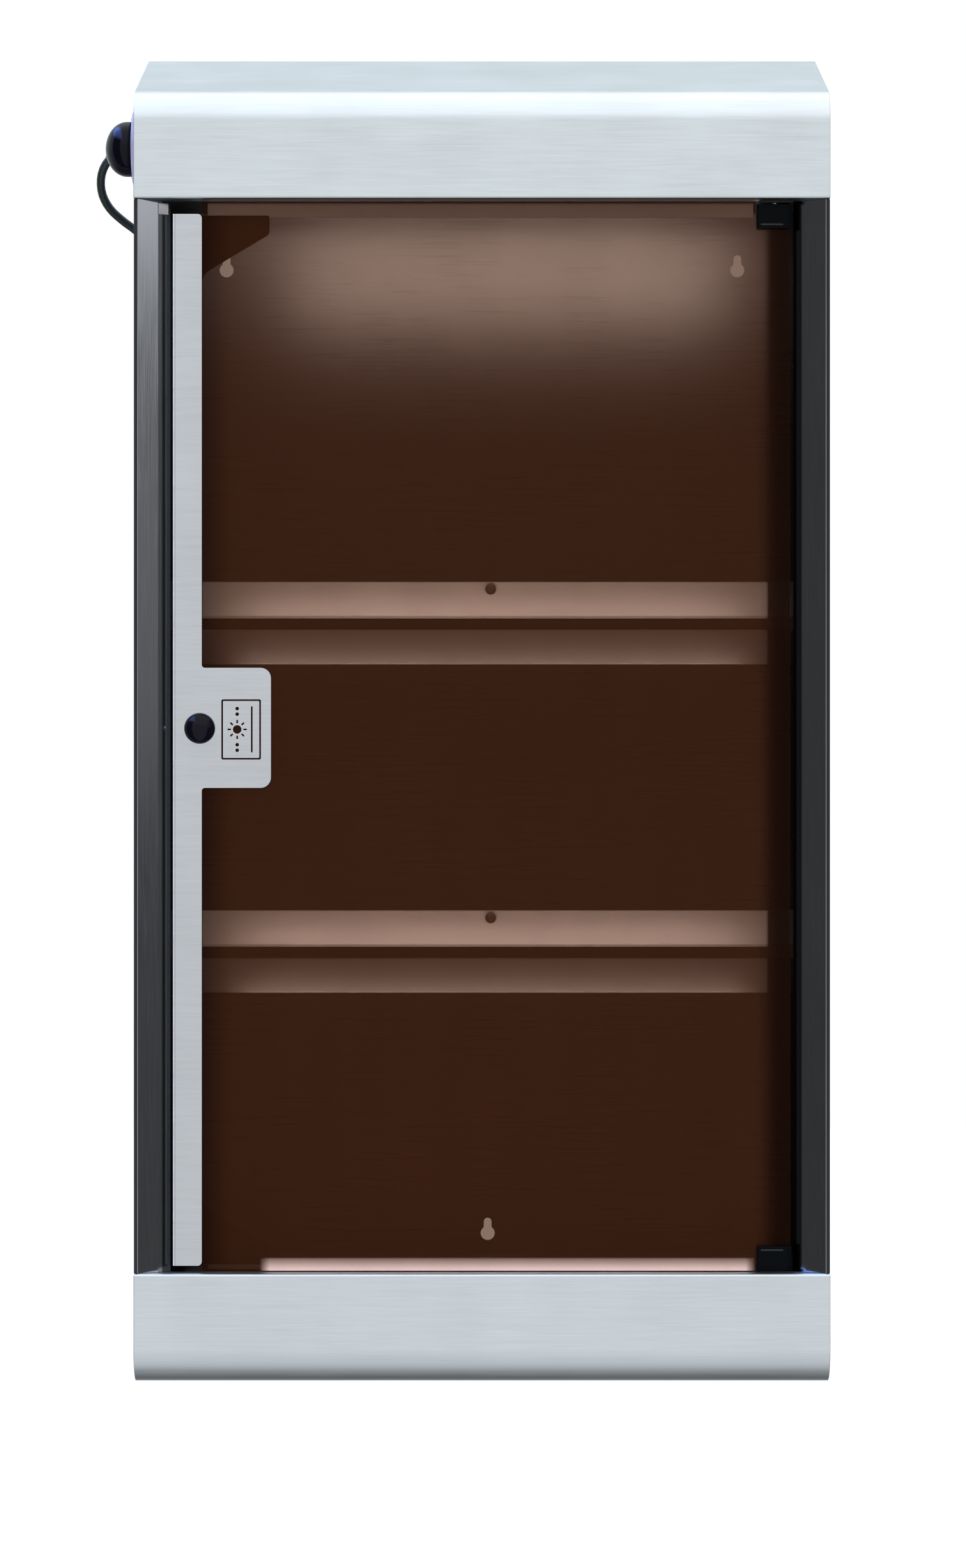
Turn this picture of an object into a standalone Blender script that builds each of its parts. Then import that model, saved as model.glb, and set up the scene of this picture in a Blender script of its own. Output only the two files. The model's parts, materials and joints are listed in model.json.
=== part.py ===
"""UV tool sterilizer cabinet: a tall, shallow wall cabinet of stainless sheet with a tinted door.

Metres, +Z up. The origin is at the centre of the flat underside, the door faces -Y and +X is to the
right of someone who faces the door. The door turns about a vertical axis at its right edge.
"""

import math

import bmesh
import bpy
from mathutils import Vector

# Driving dimensions of the cabinet.
WIDTH = 0.500
DEPTH = 0.150
SHEET = 0.0012
GAP = 0.0003
BASE_TOP = 0.0794
HOOD_BOTTOM = 0.8513
HOOD_FACE_TOP = 0.9076
ROOF_SLOPE = math.radians(17.6)
BIG_BEND = 0.025
LIP = 0.017

RIGHT = WIDTH / 2
FRONT = -DEPTH / 2
BACK = DEPTH / 2
INSIDE = RIGHT - SHEET
INSET = SHEET + GAP

# The folded front edge of each side panel, as distances in from the side and back from the front.
FLANGE_MID = (0.0170, 0.0100)
FLANGE_END = (0.0255, 0.0165)

# Door: the glass pane and what is clamped to it.
DOOR_BOTTOM = 0.0840
DOOR_TOP = 0.8416
DOOR_LEFT = -0.2227
DOOR_RIGHT = 0.2224
DOOR_FACE = FRONT + 0.0120
STRIP_SHEET = 0.0010
STRIP_RIGHT = -0.2017
PANE_LOW = 0.0803
PANE_HIGH = 0.8506
GLASS_THICK = 0.0050
GLASS_FRONT = DOOR_FACE + STRIP_SHEET + 0.0002
GLASS_BACK = GLASS_FRONT + GLASS_THICK
STRIKER_FRONT = GLASS_BACK + GAP
STRIKER_BACK = STRIKER_FRONT + STRIP_SHEET
KNOB_AT = (-0.2028, 0.4710)
TAB_RIGHT = -0.1519
TAB_LOW = 0.4282
TAB_HIGH = 0.5147

# Door pivots.
HINGE_X = 0.2110
HINGE_Y = (GLASS_FRONT + GLASS_BACK) / 2
CLAMP_LEFT = 0.1980
CLAMP_RIGHT = 0.2233
CLAMP_HALF_DEPTH = 0.0065
PIN_RADIUS = 0.0025

# Stops that the closed door meets, and the catch behind them.
STOP_FRONT = FRONT + 0.0210
STOP_LEFT = -0.1980
STOP_RIGHT = 0.1960

# Racks on the back panel: height of each rack's lower edge.
RACK_HEIGHTS = {"upper": 0.5206, "lower": 0.2747}
RACK_HALF_LENGTH = 0.2360
RACK_SCREW_X = 0.0066
RACK_SCREW_RISE = 0.0560
RACK_FRONT = BACK - 0.0100

# Lamp, timer and cord entry in the hood.
PARTITION_Y = 0.0170
PARTITION_TOP = 0.9350
LAMP_Y = 0.0420
LAMP_Z = 0.8800
LAMP_HALF_LENGTH = 0.2190
TIMER_Y = -0.0130
TIMER_Z = 0.8950
GLAND_Y = 0.0400
GLAND_Z = 0.9040

# Mains cord, from the gland to the coil and on to the plug.
CORD_RADIUS = 0.00315
BOOT_POINTS = 3
COIL_RADIUS = 0.0350
COIL_TURNS = 4
COIL_PITCH = 0.0067
COIL_BOTTOM = 0.0013
COIL_CENTRE = (-0.1300, 0.1470)
COIL_LOW_ROW = COIL_BOTTOM + CORD_RADIUS
COIL_HIGH_ROW = COIL_LOW_ROW + COIL_TURNS * COIL_PITCH
COIL_FRONT_Y = COIL_CENTRE[1] - COIL_RADIUS
PLUG_X = -0.0660
PLUG_Z = 0.0186
CORD_ROUTE = [
    (-0.2545, 0.0400, 0.9040),
    (-0.2625, 0.0401, 0.9032),
    (-0.2706, 0.0408, 0.9002),
    (-0.2772, 0.0424, 0.8950),
    (-0.2818, 0.0450, 0.8880),
    (-0.2838, 0.0488, 0.8795),
    (-0.2828, 0.0548, 0.8700),
    (-0.2779, 0.0626, 0.8610),
    (-0.2695, 0.0708, 0.8535),
    (-0.2592, 0.0780, 0.8462),
    (-0.2492, 0.0826, 0.8375),
    (-0.2412, 0.0844, 0.8262),
    (-0.2362, 0.0848, 0.8120),
    (-0.2342, 0.0848, 0.7930),
    (-0.2337, 0.0847, 0.7500),
    (-0.2335, 0.0846, 0.6300),
    (-0.2334, 0.0846, 0.4800),
    (-0.2334, 0.0846, 0.3300),
    (-0.2333, 0.0847, 0.1800),
    (-0.2330, 0.0849, 0.0900),
    (-0.2313, 0.0861, 0.0520),
    (-0.2251, 0.0893, 0.0235),
    (-0.2130, 0.0948, 0.0082),
    (-0.1972, 0.1020, 0.0040),
    (-0.1800, 0.1086, 0.0040),
    (-0.1620, 0.1116, 0.0043),
]

FRONT_VIEW = (math.pi / 2, 0.0, 0.0)
SIDE_VIEW = (math.pi / 2, 0.0, math.pi / 2)
ALONG_X = (0.0, math.pi / 2, 0.0)
ALONG_MINUS_X = (0.0, -math.pi / 2, 0.0)
ALONG_MINUS_Y = (math.pi / 2, 0.0, 0.0)
ALONG_Z = (0.0, 0.0, 0.0)

# Colour, roughness and metallic value of each finish.
FINISHES = {
    "steel": ((0.62, 0.65, 0.67), 0.32, 1.0),
    "dark_steel": ((0.30, 0.27, 0.26), 0.40, 1.0),
    "bright_steel": ((0.78, 0.80, 0.82), 0.20, 1.0),
    "tinted": ((0.10, 0.045, 0.022), 0.08, 0.0),
    "gloss_black": ((0.012, 0.013, 0.020), 0.12, 0.0),
    "satin_black": ((0.015, 0.016, 0.018), 0.45, 0.0),
    "white_plastic": ((0.80, 0.78, 0.82), 0.40, 0.0),
    "grey_plastic": ((0.35, 0.36, 0.38), 0.50, 0.0),
    "lamp_glass": ((0.85, 0.88, 0.92), 0.10, 0.0),
    "galvanised": ((0.50, 0.52, 0.53), 0.45, 0.9),
    "rubber": ((0.010, 0.016, 0.016), 0.60, 0.0),
    "ferrite": ((0.05, 0.05, 0.055), 0.70, 0.0),
    "nickel": ((0.70, 0.68, 0.63), 0.25, 1.0),
    "copper_wire": ((0.55, 0.10, 0.05), 0.50, 0.0),
}


def clear_scene():
    for old in list(bpy.data.objects):
        bpy.data.objects.remove(old, do_unlink=True)


def new_collection(name):
    collection = bpy.data.collections.new(name)
    bpy.context.scene.collection.children.link(collection)
    return collection


clear_scene()
PARTS = new_collection("uv_sterilizer_cabinet")
CUTTERS = new_collection("cutters")


# ---- Modelling helpers -------------------------------------------------------------------------


def paint(obj, finish):
    colour, roughness, metallic = FINISHES[finish]
    material = bpy.data.materials.new(obj.name)
    material.use_nodes = True
    shader = material.node_tree.nodes["Principled BSDF"]
    shader.inputs["Base Color"].default_value = (*colour, 1.0)
    shader.inputs["Roughness"].default_value = roughness
    shader.inputs["Metallic"].default_value = metallic
    obj.data.materials.clear()
    obj.data.materials.append(material)


def place(name, data, finish, at=(0, 0, 0), turn=ALONG_Z, parent=None):
    """Link a new object: a part with its own material, or a hidden cutter when finish is None."""
    obj = bpy.data.objects.new(name, data)
    obj.location = Vector(at) - (parent.location if parent else Vector())
    obj.rotation_euler = turn
    obj.parent = parent
    if finish is None:
        CUTTERS.objects.link(obj)
        obj.hide_render = True
        obj.display_type = "WIRE"
    else:
        PARTS.objects.link(obj)
        paint(obj, finish)
    return obj


def mesh_from(builder, name):
    mesh = bpy.data.meshes.new(name)
    builder.to_mesh(mesh)
    builder.free()
    return mesh


def box(name, low, high, finish, bevel=0.0, parent=None):
    size = Vector(high) - Vector(low)
    builder = bmesh.new()
    bmesh.ops.create_cube(builder, size=1.0)
    bmesh.ops.scale(builder, vec=size, verts=builder.verts)
    obj = place(name, mesh_from(builder, name), finish, (Vector(high) + Vector(low)) / 2, parent=parent)
    if bevel:
        rounding = obj.modifiers.new("edges", "BEVEL")
        rounding.width = bevel
        rounding.segments = 2
        rounding.limit_method = "ANGLE"
    return obj


def rod(name, radius, centre, length, turn, finish, sides=20, parent=None):
    builder = bmesh.new()
    bmesh.ops.create_cone(
        builder,
        cap_ends=True,
        segments=sides,
        radius1=radius,
        radius2=radius,
        depth=length,
    )
    obj = place(name, mesh_from(builder, name), finish, centre, turn, parent)
    smooth(obj)
    return obj


def smooth(obj):
    obj.data.shade_smooth()
    obj.data.set_sharp_from_angle(angle=math.radians(35))


def turned(name, profile, finish, at, turn=ALONG_Z, steps=28, ring=False, parent=None):
    """Turn a profile of (radius, height) about local Z. It runs down its outer side."""
    builder = bmesh.new()
    points = [builder.verts.new((radius, 0.0, height)) for radius, height in profile]
    ends = points[1:] + ([points[0]] if ring else [])
    for start, end in zip(points, ends):
        builder.edges.new((start, end))
    obj = place(name, mesh_from(builder, name), finish, at, turn, parent)
    screw = obj.modifiers.new("turn", "SCREW")
    screw.steps = steps
    screw.render_steps = steps
    screw.use_merge_vertices = True
    screw.merge_threshold = 0.00001
    screw.use_smooth_shade = False
    return obj


def rounded(points, radii, steps=4):
    """A path or outline of 2D points, each corner turned into an arc of its own radius."""
    result = []
    for index, (corner, radius) in enumerate(zip(map(Vector, points), radii)):
        if not radius:
            result.append(corner)
            continue
        back = (Vector(points[index - 1]) - corner).normalized()
        ahead = (Vector(points[(index + 1) % len(points)]) - corner).normalized()
        half = back.angle(ahead) / 2
        centre = corner + (back + ahead).normalized() * radius / math.sin(half)
        spoke = corner + back * radius / math.tan(half) - centre
        left_turn = back.x * ahead.y - back.y * ahead.x < 0
        sweep = (math.pi - 2 * half) * (1 if left_turn else -1)
        for step in range(steps + 1):
            angle = sweep * step / steps
            turn_x = spoke.x * math.cos(angle) - spoke.y * math.sin(angle)
            turn_y = spoke.x * math.sin(angle) + spoke.y * math.cos(angle)
            result.append(centre + Vector((turn_x, turn_y)))
    return result


def outline_mesh(name, points, thickness):
    """A flat plate of a closed outline, drawn as a filled 2D curve and made a welded mesh."""
    curve = bpy.data.curves.new(name, "CURVE")
    curve.dimensions = "2D"
    curve.fill_mode = "BOTH"
    curve.extrude = thickness / 2
    spline = curve.splines.new("POLY")
    spline.points.add(len(points) - 1)
    for point, place_at in zip(spline.points, points):
        point.co = (place_at[0], place_at[1], 0.0, 1.0)
    spline.use_cyclic_u = True
    drawn = bpy.data.objects.new(name + "_outline", curve)
    PARTS.objects.link(drawn)
    graph = bpy.context.evaluated_depsgraph_get()
    mesh = bpy.data.meshes.new_from_object(drawn.evaluated_get(graph))
    bpy.data.objects.remove(drawn, do_unlink=True)
    builder = bmesh.new()
    builder.from_mesh(mesh)
    bmesh.ops.remove_doubles(builder, verts=builder.verts, dist=0.00001)
    bmesh.ops.recalc_face_normals(builder, faces=builder.faces)
    builder.to_mesh(mesh)
    builder.free()
    return mesh


def plate(name, points, thickness, turn, at, finish, parent=None):
    return place(name, outline_mesh(name, points, thickness), finish, at, turn, parent)


def sheet(name, path, along, low, high, outward, finish, thickness=SHEET, parent=None):
    """Bent sheet: a 2D path swept along X (path in Y, Z) or along Z (path in X, Y), then thickened
    away from outward, the side that the path's first stretch faces."""
    builder = bmesh.new()
    if along == "X":
        places = [(low, first, second) for first, second in path]
        shift = Vector((high - low, 0.0, 0.0))
    else:
        places = [(first, second, low) for first, second in path]
        shift = Vector((0.0, 0.0, high - low))
    origin = parent.location if parent else Vector()
    points = [builder.verts.new(Vector(point) - origin) for point in places]
    edges = [builder.edges.new(pair) for pair in zip(points, points[1:])]
    swept = bmesh.ops.extrude_edge_only(builder, edges=edges)["geom"]
    moved = [item for item in swept if isinstance(item, bmesh.types.BMVert)]
    bmesh.ops.translate(builder, vec=shift, verts=moved)
    builder.normal_update()
    builder.faces.ensure_lookup_table()
    middle = (points[0].co + points[1].co + shift) / 2
    first_face = min(builder.faces, key=lambda face: (face.calc_center_median() - middle).length)
    if first_face.normal.dot(Vector(outward)) < 0:
        bmesh.ops.reverse_faces(builder, faces=builder.faces)
    obj = place(name, mesh_from(builder, name), finish, origin, parent=parent)
    shell = obj.modifiers.new("thickness", "SOLIDIFY")
    shell.thickness = thickness
    shell.offset = -1.0
    shell.use_even_offset = True
    shell.use_quality_normals = True
    return obj


def tube(name, points, radius, finish, taper=1.0):
    curve = bpy.data.curves.new(name, "CURVE")
    curve.dimensions = "3D"
    curve.bevel_depth = radius
    curve.bevel_resolution = 2
    curve.use_fill_caps = True
    spline = curve.splines.new("POLY")
    spline.points.add(len(points) - 1)
    for index, (point, co) in enumerate(zip(spline.points, points)):
        point.co = (*co, 1.0)
        point.radius = 1.0 + (taper - 1.0) * index / (len(points) - 1)
    spline.use_smooth = True
    return place(name, curve, finish)


def combine(obj, other, operation="DIFFERENCE"):
    change = obj.modifiers.new(other.name, "BOOLEAN")
    change.operation = operation
    change.solver = "EXACT"
    change.object = other
    return obj


def drill(obj, radius, centre, length, turn, sides=20):
    index = sum(1 for cutter in CUTTERS.objects if cutter.name.startswith(obj.name))
    return combine(obj, rod(f"{obj.name}_hole_{index}", radius, centre, length, turn, None, sides))


def carve(obj, low, high):
    index = sum(1 for cutter in CUTTERS.objects if cutter.name.startswith(obj.name))
    return combine(obj, box(f"{obj.name}_cut_{index}", low, high, None))


def smooth_route(points, spacing):
    """Points about one spacing apart on a Catmull-Rom curve through the given points."""
    knots = [Vector(point) for point in points]
    knots = [2 * knots[0] - knots[1]] + knots + [2 * knots[-1] - knots[-2]]
    fine = []
    for before, start, end, after in zip(knots, knots[1:], knots[2:], knots[3:]):
        for step in range(20):
            t = step / 20
            fine.append(
                0.5
                * (
                    2 * start
                    + (end - before) * t
                    + (2 * before - 5 * start + 4 * end - after) * t**2
                    + (3 * start - before - 3 * end + after) * t**3
                )
            )
    fine.append(knots[-2])
    route = [fine[0]]
    travelled = 0.0
    for start, end in zip(fine, fine[1:]):
        travelled += (end - start).length
        if travelled >= spacing:
            route.append(end)
            travelled = 0.0
    if (route[-1] - fine[-1]).length < spacing / 2:
        route.pop()
    return route + [fine[-1]]


# ---- Body --------------------------------------------------------------------------------------


def keyhole_outline(head_radius=0.0053, neck=0.0029, rise=0.0086, steps=14):
    """A round hole for a screw head with a narrower slot above it, centred on the round hole."""
    open_angle = math.asin(neck / head_radius)
    points = []
    for step in range(steps + 1):
        angle = math.pi / 2 + open_angle + (2 * math.pi - 2 * open_angle) * step / steps
        points.append((head_radius * math.cos(angle), head_radius * math.sin(angle)))
    for step in range(9):
        angle = math.pi * step / 8
        points.append((neck * math.cos(angle), rise + neck * math.sin(angle)))
    return points


KEYHOLES = {"left": (-0.1915, 0.8165), "right": (0.1915, 0.8165), "bottom": (0.0043, 0.0941)}


def make_back_panel():
    edge = INSIDE - GAP
    panel = box(
        "back_panel",
        (-edge, BACK - SHEET, INSET),
        (edge, BACK, roof_height(BACK - SHEET) - 0.0020),
        "steel",
    )
    for name, (x, z) in KEYHOLES.items():
        outline = keyhole_outline()
        at = (x, BACK - SHEET / 2, z)
        combine(panel, plate(f"keyhole_{name}", outline, 0.006, FRONT_VIEW, at, None))
    for height in RACK_HEIGHTS.values():
        drill(panel, 0.0024, (RACK_SCREW_X, BACK, height + RACK_SCREW_RISE), 0.010, ALONG_MINUS_Y, 16)
    return panel


def make_side_panels():
    low = BASE_TOP + GAP
    high = HOOD_BOTTOM - GAP
    for name, side in (("left", -1), ("right", 1)):
        path = [
            (side * RIGHT, BACK),
            (side * RIGHT, FRONT),
            (side * (RIGHT - FLANGE_MID[0]), FRONT + FLANGE_MID[1]),
            (side * (RIGHT - FLANGE_END[0]), FRONT + FLANGE_END[1]),
        ]
        bent = rounded(path, (0, 0.0020, 0, 0), 3)
        sheet(f"side_panel_{name}", bent, "Z", low, high, (side, 0, 0), "steel")


# ---- Hood --------------------------------------------------------------------------------------


def roof_height(y):
    """Height of the roof's upper face at a depth."""
    tangent = BIG_BEND * math.sin(ROOF_SLOPE)
    start_y = FRONT + BIG_BEND - tangent
    start_z = HOOD_FACE_TOP + BIG_BEND * math.cos(ROOF_SLOPE)
    return start_z + (y - start_y) * math.tan(ROOF_SLOPE)


def hood_bend(inset=0.0, steps=10):
    """The hood's large front bend, from its upright face to its roof, set in from the outside."""
    radius = BIG_BEND - inset
    points = []
    for step in range(steps + 1):
        angle = math.pi - (math.pi / 2 - ROOF_SLOPE) * step / steps
        y = FRONT + BIG_BEND + radius * math.cos(angle)
        points.append((y, HOOD_FACE_TOP + radius * math.sin(angle)))
    return points


def make_hood_skin():
    lip = rounded([(FRONT + LIP, HOOD_BOTTOM), (FRONT, HOOD_BOTTOM), hood_bend()[0]], (0, 0.002, 0), 3)
    roof_end = BACK - SHEET * math.sin(ROOF_SLOPE)
    path = lip[:-1] + hood_bend() + [(roof_end, roof_height(roof_end))]
    sheet("hood_skin", path, "X", -RIGHT, RIGHT, (0, 0, -1), "steel")


def make_hood_cheeks():
    step_y = FRONT + LIP + GAP
    back = BACK - INSET
    roof = roof_height(back) - INSET / math.cos(ROOF_SLOPE)
    outline = [
        (FRONT + INSET, HOOD_BOTTOM + INSET),
        (step_y, HOOD_BOTTOM + INSET),
        (step_y, HOOD_BOTTOM),
        (back, HOOD_BOTTOM),
        (back, roof),
    ]
    outline += reversed(hood_bend(INSET))
    for name, side in (("left", -1), ("right", 1)):
        at = (side * (RIGHT - SHEET / 2), 0.0, 0.0)
        cheek = plate(f"hood_cheek_{name}", outline, SHEET, SIDE_VIEW, at, "steel")
        if side < 0:
            drill(cheek, 0.0053, (-RIGHT, TIMER_Y, TIMER_Z), 0.010, ALONG_X)
            drill(cheek, 0.0073, (-RIGHT, GLAND_Y, GLAND_Z), 0.010, ALONG_X)


def make_electrics_tray():
    low_y = FRONT + LIP + 2 * GAP
    edge = INSIDE - GAP
    path = [(low_y, HOOD_BOTTOM), (PARTITION_Y, HOOD_BOTTOM), (PARTITION_Y, PARTITION_TOP)]
    bent = rounded(path, (0, 0.002, 0), 2)
    sheet("electrics_tray", bent, "X", -edge, edge, (0, 0, -1), "galvanised")


# ---- Base --------------------------------------------------------------------------------------


def make_base():
    path = [(FRONT + LIP, BASE_TOP), (FRONT, BASE_TOP), (FRONT, 0.0), (BACK, 0.0)]
    lip = rounded(path[:3], (0, 0.002, 0), 3)[:-1]
    bend = rounded(path[1:], (0, BIG_BEND, 0), 10)[1:]
    sheet("base_skin", lip + bend, "X", -RIGHT, RIGHT, (0, 0, 1), "steel")
    step_y = FRONT + LIP + GAP
    corners = [
        (FRONT + INSET, INSET),
        (BACK - INSET, INSET),
        (BACK - INSET, BASE_TOP),
        (step_y, BASE_TOP),
        (step_y, BASE_TOP - INSET),
        (FRONT + INSET, BASE_TOP - INSET),
    ]
    outline = rounded(corners, (BIG_BEND - INSET, 0, 0, 0, 0, 0), 10)
    for name, side in (("left", -1), ("right", 1)):
        at = (side * (RIGHT - SHEET / 2), 0.0, 0.0)
        plate(f"base_cheek_{name}", outline, SHEET, SIDE_VIEW, at, "steel")
    edge = INSIDE - GAP
    box(
        "chamber_floor",
        (-edge, step_y + GAP, BASE_TOP - SHEET),
        (edge, BACK - INSET, BASE_TOP),
        "steel",
    )


# ---- Door stops, catch and interlock -----------------------------------------------------------


def make_door_stops():
    depth = STOP_FRONT + 0.019
    low = BASE_TOP + GAP
    high = HOOD_BOTTOM - GAP
    bottom = [(STOP_FRONT, 0.0887), (STOP_FRONT, low), (depth, low)]
    top = [(STOP_FRONT, 0.8400), (STOP_FRONT, high), (depth, high)]
    for name, path in (("bottom", bottom), ("top", top)):
        bent = rounded(path, (0, 0.002, 0), 2)
        sheet(f"door_stop_{name}", bent, "X", STOP_LEFT, STOP_RIGHT, (0, -1, 0), "steel")


def make_catch():
    """Magnets behind the stops pull the door's steel striker plate."""
    front = STOP_FRONT + INSET
    under_hood = HOOD_BOTTOM - 2 * GAP - SHEET
    over_floor = BASE_TOP + 2 * GAP + SHEET
    box("catch_magnet_top", (-0.195, front, 0.8403), (-0.179, front + 0.0075, under_hood), "ferrite")
    box("catch_magnet_bottom", (-0.195, front, over_floor), (-0.179, front + 0.0075, 0.0884), "ferrite")
    switch = box(
        "interlock_switch",
        (-0.1760, front, 0.8295),
        (-0.1560, front + 0.0155, under_hood),
        "satin_black",
    )
    plunger_z = 0.8350
    tip = STRIKER_BACK + GAP
    drill(switch, 0.0018, (-0.1660, front, plunger_z), 0.0120, ALONG_MINUS_Y, 16)
    length = front + 0.0030 - tip
    rod(
        "interlock_plunger",
        0.0015,
        (-0.1660, tip + length / 2, plunger_z),
        length,
        ALONG_MINUS_Y,
        "bright_steel",
        16,
    )


# ---- Racks -------------------------------------------------------------------------------------


def make_rack(name, low):
    wall = BACK - INSET
    face = RACK_FRONT
    rail = [
        (wall, low + 0.0620),
        (face + 0.0010, low + 0.0620),
        (face, low + 0.0478),
        (face + 0.0014, low + 0.0361),
        (face + 0.0039, low + 0.0343),
    ]
    lower = [
        (face + 0.0046, low + 0.0262),
        (face + 0.0008, low + 0.0258),
        (face, low + 0.0130),
        (face + 0.0010, low),
        (wall, low),
    ]
    edge = RACK_HALF_LENGTH
    bends = (0, 0.0012, 0, 0.0012, 0)
    rail_path = rounded(rail, bends, 2)
    lower_path = rounded(lower, bends, 2)
    steel = "dark_steel"
    rail_sheet = sheet(f"rack_rail_{name}", rail_path, "X", -edge, edge, (0, 0, 1), steel, 0.0010)
    sheet(f"rack_plate_{name}", lower_path, "X", -edge, edge, (0, 0, 1), steel, 0.0010)
    box(
        f"rack_magnet_{name}",
        (-edge, face + 0.0049, low + 0.0180),
        (edge, wall, low + 0.0420),
        "ferrite",
    )
    screw_z = low + RACK_SCREW_RISE
    drill(rail_sheet, 0.0024, (RACK_SCREW_X, face, screw_z), 0.006, ALONG_MINUS_Y, 16)
    head = face + 0.0003
    profile = [
        (0.0, 0.0026),
        (0.0022, 0.0024),
        (0.0038, 0.0015),
        (0.0043, 0.0),
        (0.0020, 0.0),
        (0.0020, head - BACK + 0.0002),
        (0.0, head - BACK + 0.0002),
    ]
    turned(f"rack_screw_{name}", profile, "bright_steel", (RACK_SCREW_X, head, screw_z), ALONG_MINUS_Y, 20)


# ---- Door --------------------------------------------------------------------------------------


def make_door(axis):
    glass = box(
        "door_glass",
        (DOOR_LEFT + STRIP_SHEET + GAP, GLASS_FRONT, DOOR_BOTTOM),
        (DOOR_RIGHT, GLASS_BACK, DOOR_TOP),
        "tinted",
        parent=axis,
    )
    taller_part = box(
        "pane_middle",
        (STRIP_RIGHT + GAP, GLASS_FRONT, PANE_LOW),
        (CLAMP_LEFT - 2 * GAP, GLASS_BACK, PANE_HIGH),
        None,
    )
    combine(glass, taller_part, "UNION")
    knob_x, knob_z = KNOB_AT
    channel = [
        (STRIP_RIGHT, DOOR_FACE),
        (DOOR_LEFT, DOOR_FACE),
        (DOOR_LEFT, STRIKER_BACK),
        (DOOR_LEFT + 0.0060, STRIKER_BACK),
    ]
    strip = sheet(
        "door_handle_strip",
        rounded(channel, (0, 0.0008, 0.0008, 0), 2),
        "Z",
        DOOR_BOTTOM,
        DOOR_TOP,
        (0, -1, 0),
        "bright_steel",
        STRIP_SHEET,
        parent=axis,
    )
    root = STRIP_RIGHT - 0.0060
    tab_outline = [
        (root, TAB_LOW - 0.0040),
        (STRIP_RIGHT, TAB_LOW - 0.0040),
        (STRIP_RIGHT, TAB_LOW),
        (TAB_RIGHT, TAB_LOW),
        (TAB_RIGHT, TAB_HIGH),
        (STRIP_RIGHT, TAB_HIGH),
        (STRIP_RIGHT, TAB_HIGH + 0.0040),
        (root, TAB_HIGH + 0.0040),
    ]
    tab_radii = (0, 0, 0.0022, 0.0075, 0.0075, 0.0022, 0, 0)
    tab_y = DOOR_FACE + STRIP_SHEET / 2
    tab = plate(
        "handle_tab",
        rounded(tab_outline, tab_radii),
        STRIP_SHEET,
        FRONT_VIEW,
        (0.0, tab_y, 0.0),
        None,
    )
    combine(strip, tab, "UNION")
    striker = plate(
        "door_striker_plate",
        striker_outline(),
        STRIP_SHEET,
        FRONT_VIEW,
        (0.0, STRIKER_FRONT + STRIP_SHEET / 2, 0.0),
        "satin_black",
        parent=axis,
    )
    for piece in (glass, strip, striker):
        drill(piece, 0.0024, (knob_x, GLASS_FRONT, knob_z), 0.030, ALONG_MINUS_Y, 16)
    make_pull_knob(axis)


def striker_outline():
    """Plate behind the glass, seen from the front: a strip with a wing for each catch magnet."""
    left = DOOR_LEFT + 0.0060 + GAP
    wing = -0.1533
    low = DOOR_BOTTOM + GAP
    high = DOOR_TOP - GAP
    pad = (0.4550, 0.4870)
    pad_right = STRIP_RIGHT + 0.0120
    corners = [
        (left, low),
        (wing, low),
        (wing, low + 0.0136),
        (STRIP_RIGHT, low + 0.0426),
        (STRIP_RIGHT, pad[0]),
        (pad_right, pad[0]),
        (pad_right, pad[1]),
        (STRIP_RIGHT, pad[1]),
        (STRIP_RIGHT, high - 0.0426),
        (wing, high - 0.0136),
        (wing, high),
        (left, high),
    ]
    return rounded(corners, (0, 0.0015, 0.004, 0.010, 0, 0.002, 0.002, 0, 0.010, 0.004, 0.0015, 0))


def make_pull_knob(axis):
    knob_x, knob_z = KNOB_AT
    profile = [(0.0, 0.0140)]
    for step in range(1, 6):
        angle = math.pi / 2 * step / 6
        profile.append((0.0111 * math.sin(angle), 0.0075 + 0.0065 * math.cos(angle)))
    profile += [
        (0.01115, 0.0070),
        (0.0108, 0.0050),
        (0.0070, 0.0030),
        (0.0065, 0.0),
        (0.0023, 0.0),
        (0.0023, 0.0085),
        (0.0, 0.0085),
    ]
    at = (knob_x, DOOR_FACE - GAP, knob_z)
    turned("door_knob", profile, "gloss_black", at, ALONG_MINUS_Y, 28, parent=axis)
    head = STRIKER_BACK + GAP
    reach = head - (DOOR_FACE - GAP) + 0.0070
    profile = [
        (0.0, reach),
        (0.0019, reach),
        (0.0019, 0.0),
        (0.0042, 0.0),
        (0.0036, -0.0016),
        (0.0018, -0.0024),
        (0.0, -0.0024),
    ]
    at = (knob_x, head, knob_z)
    turned("door_knob_screw", profile, "bright_steel", at, ALONG_MINUS_Y, 20, parent=axis)


# ---- Pivots ------------------------------------------------------------------------------------


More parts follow.
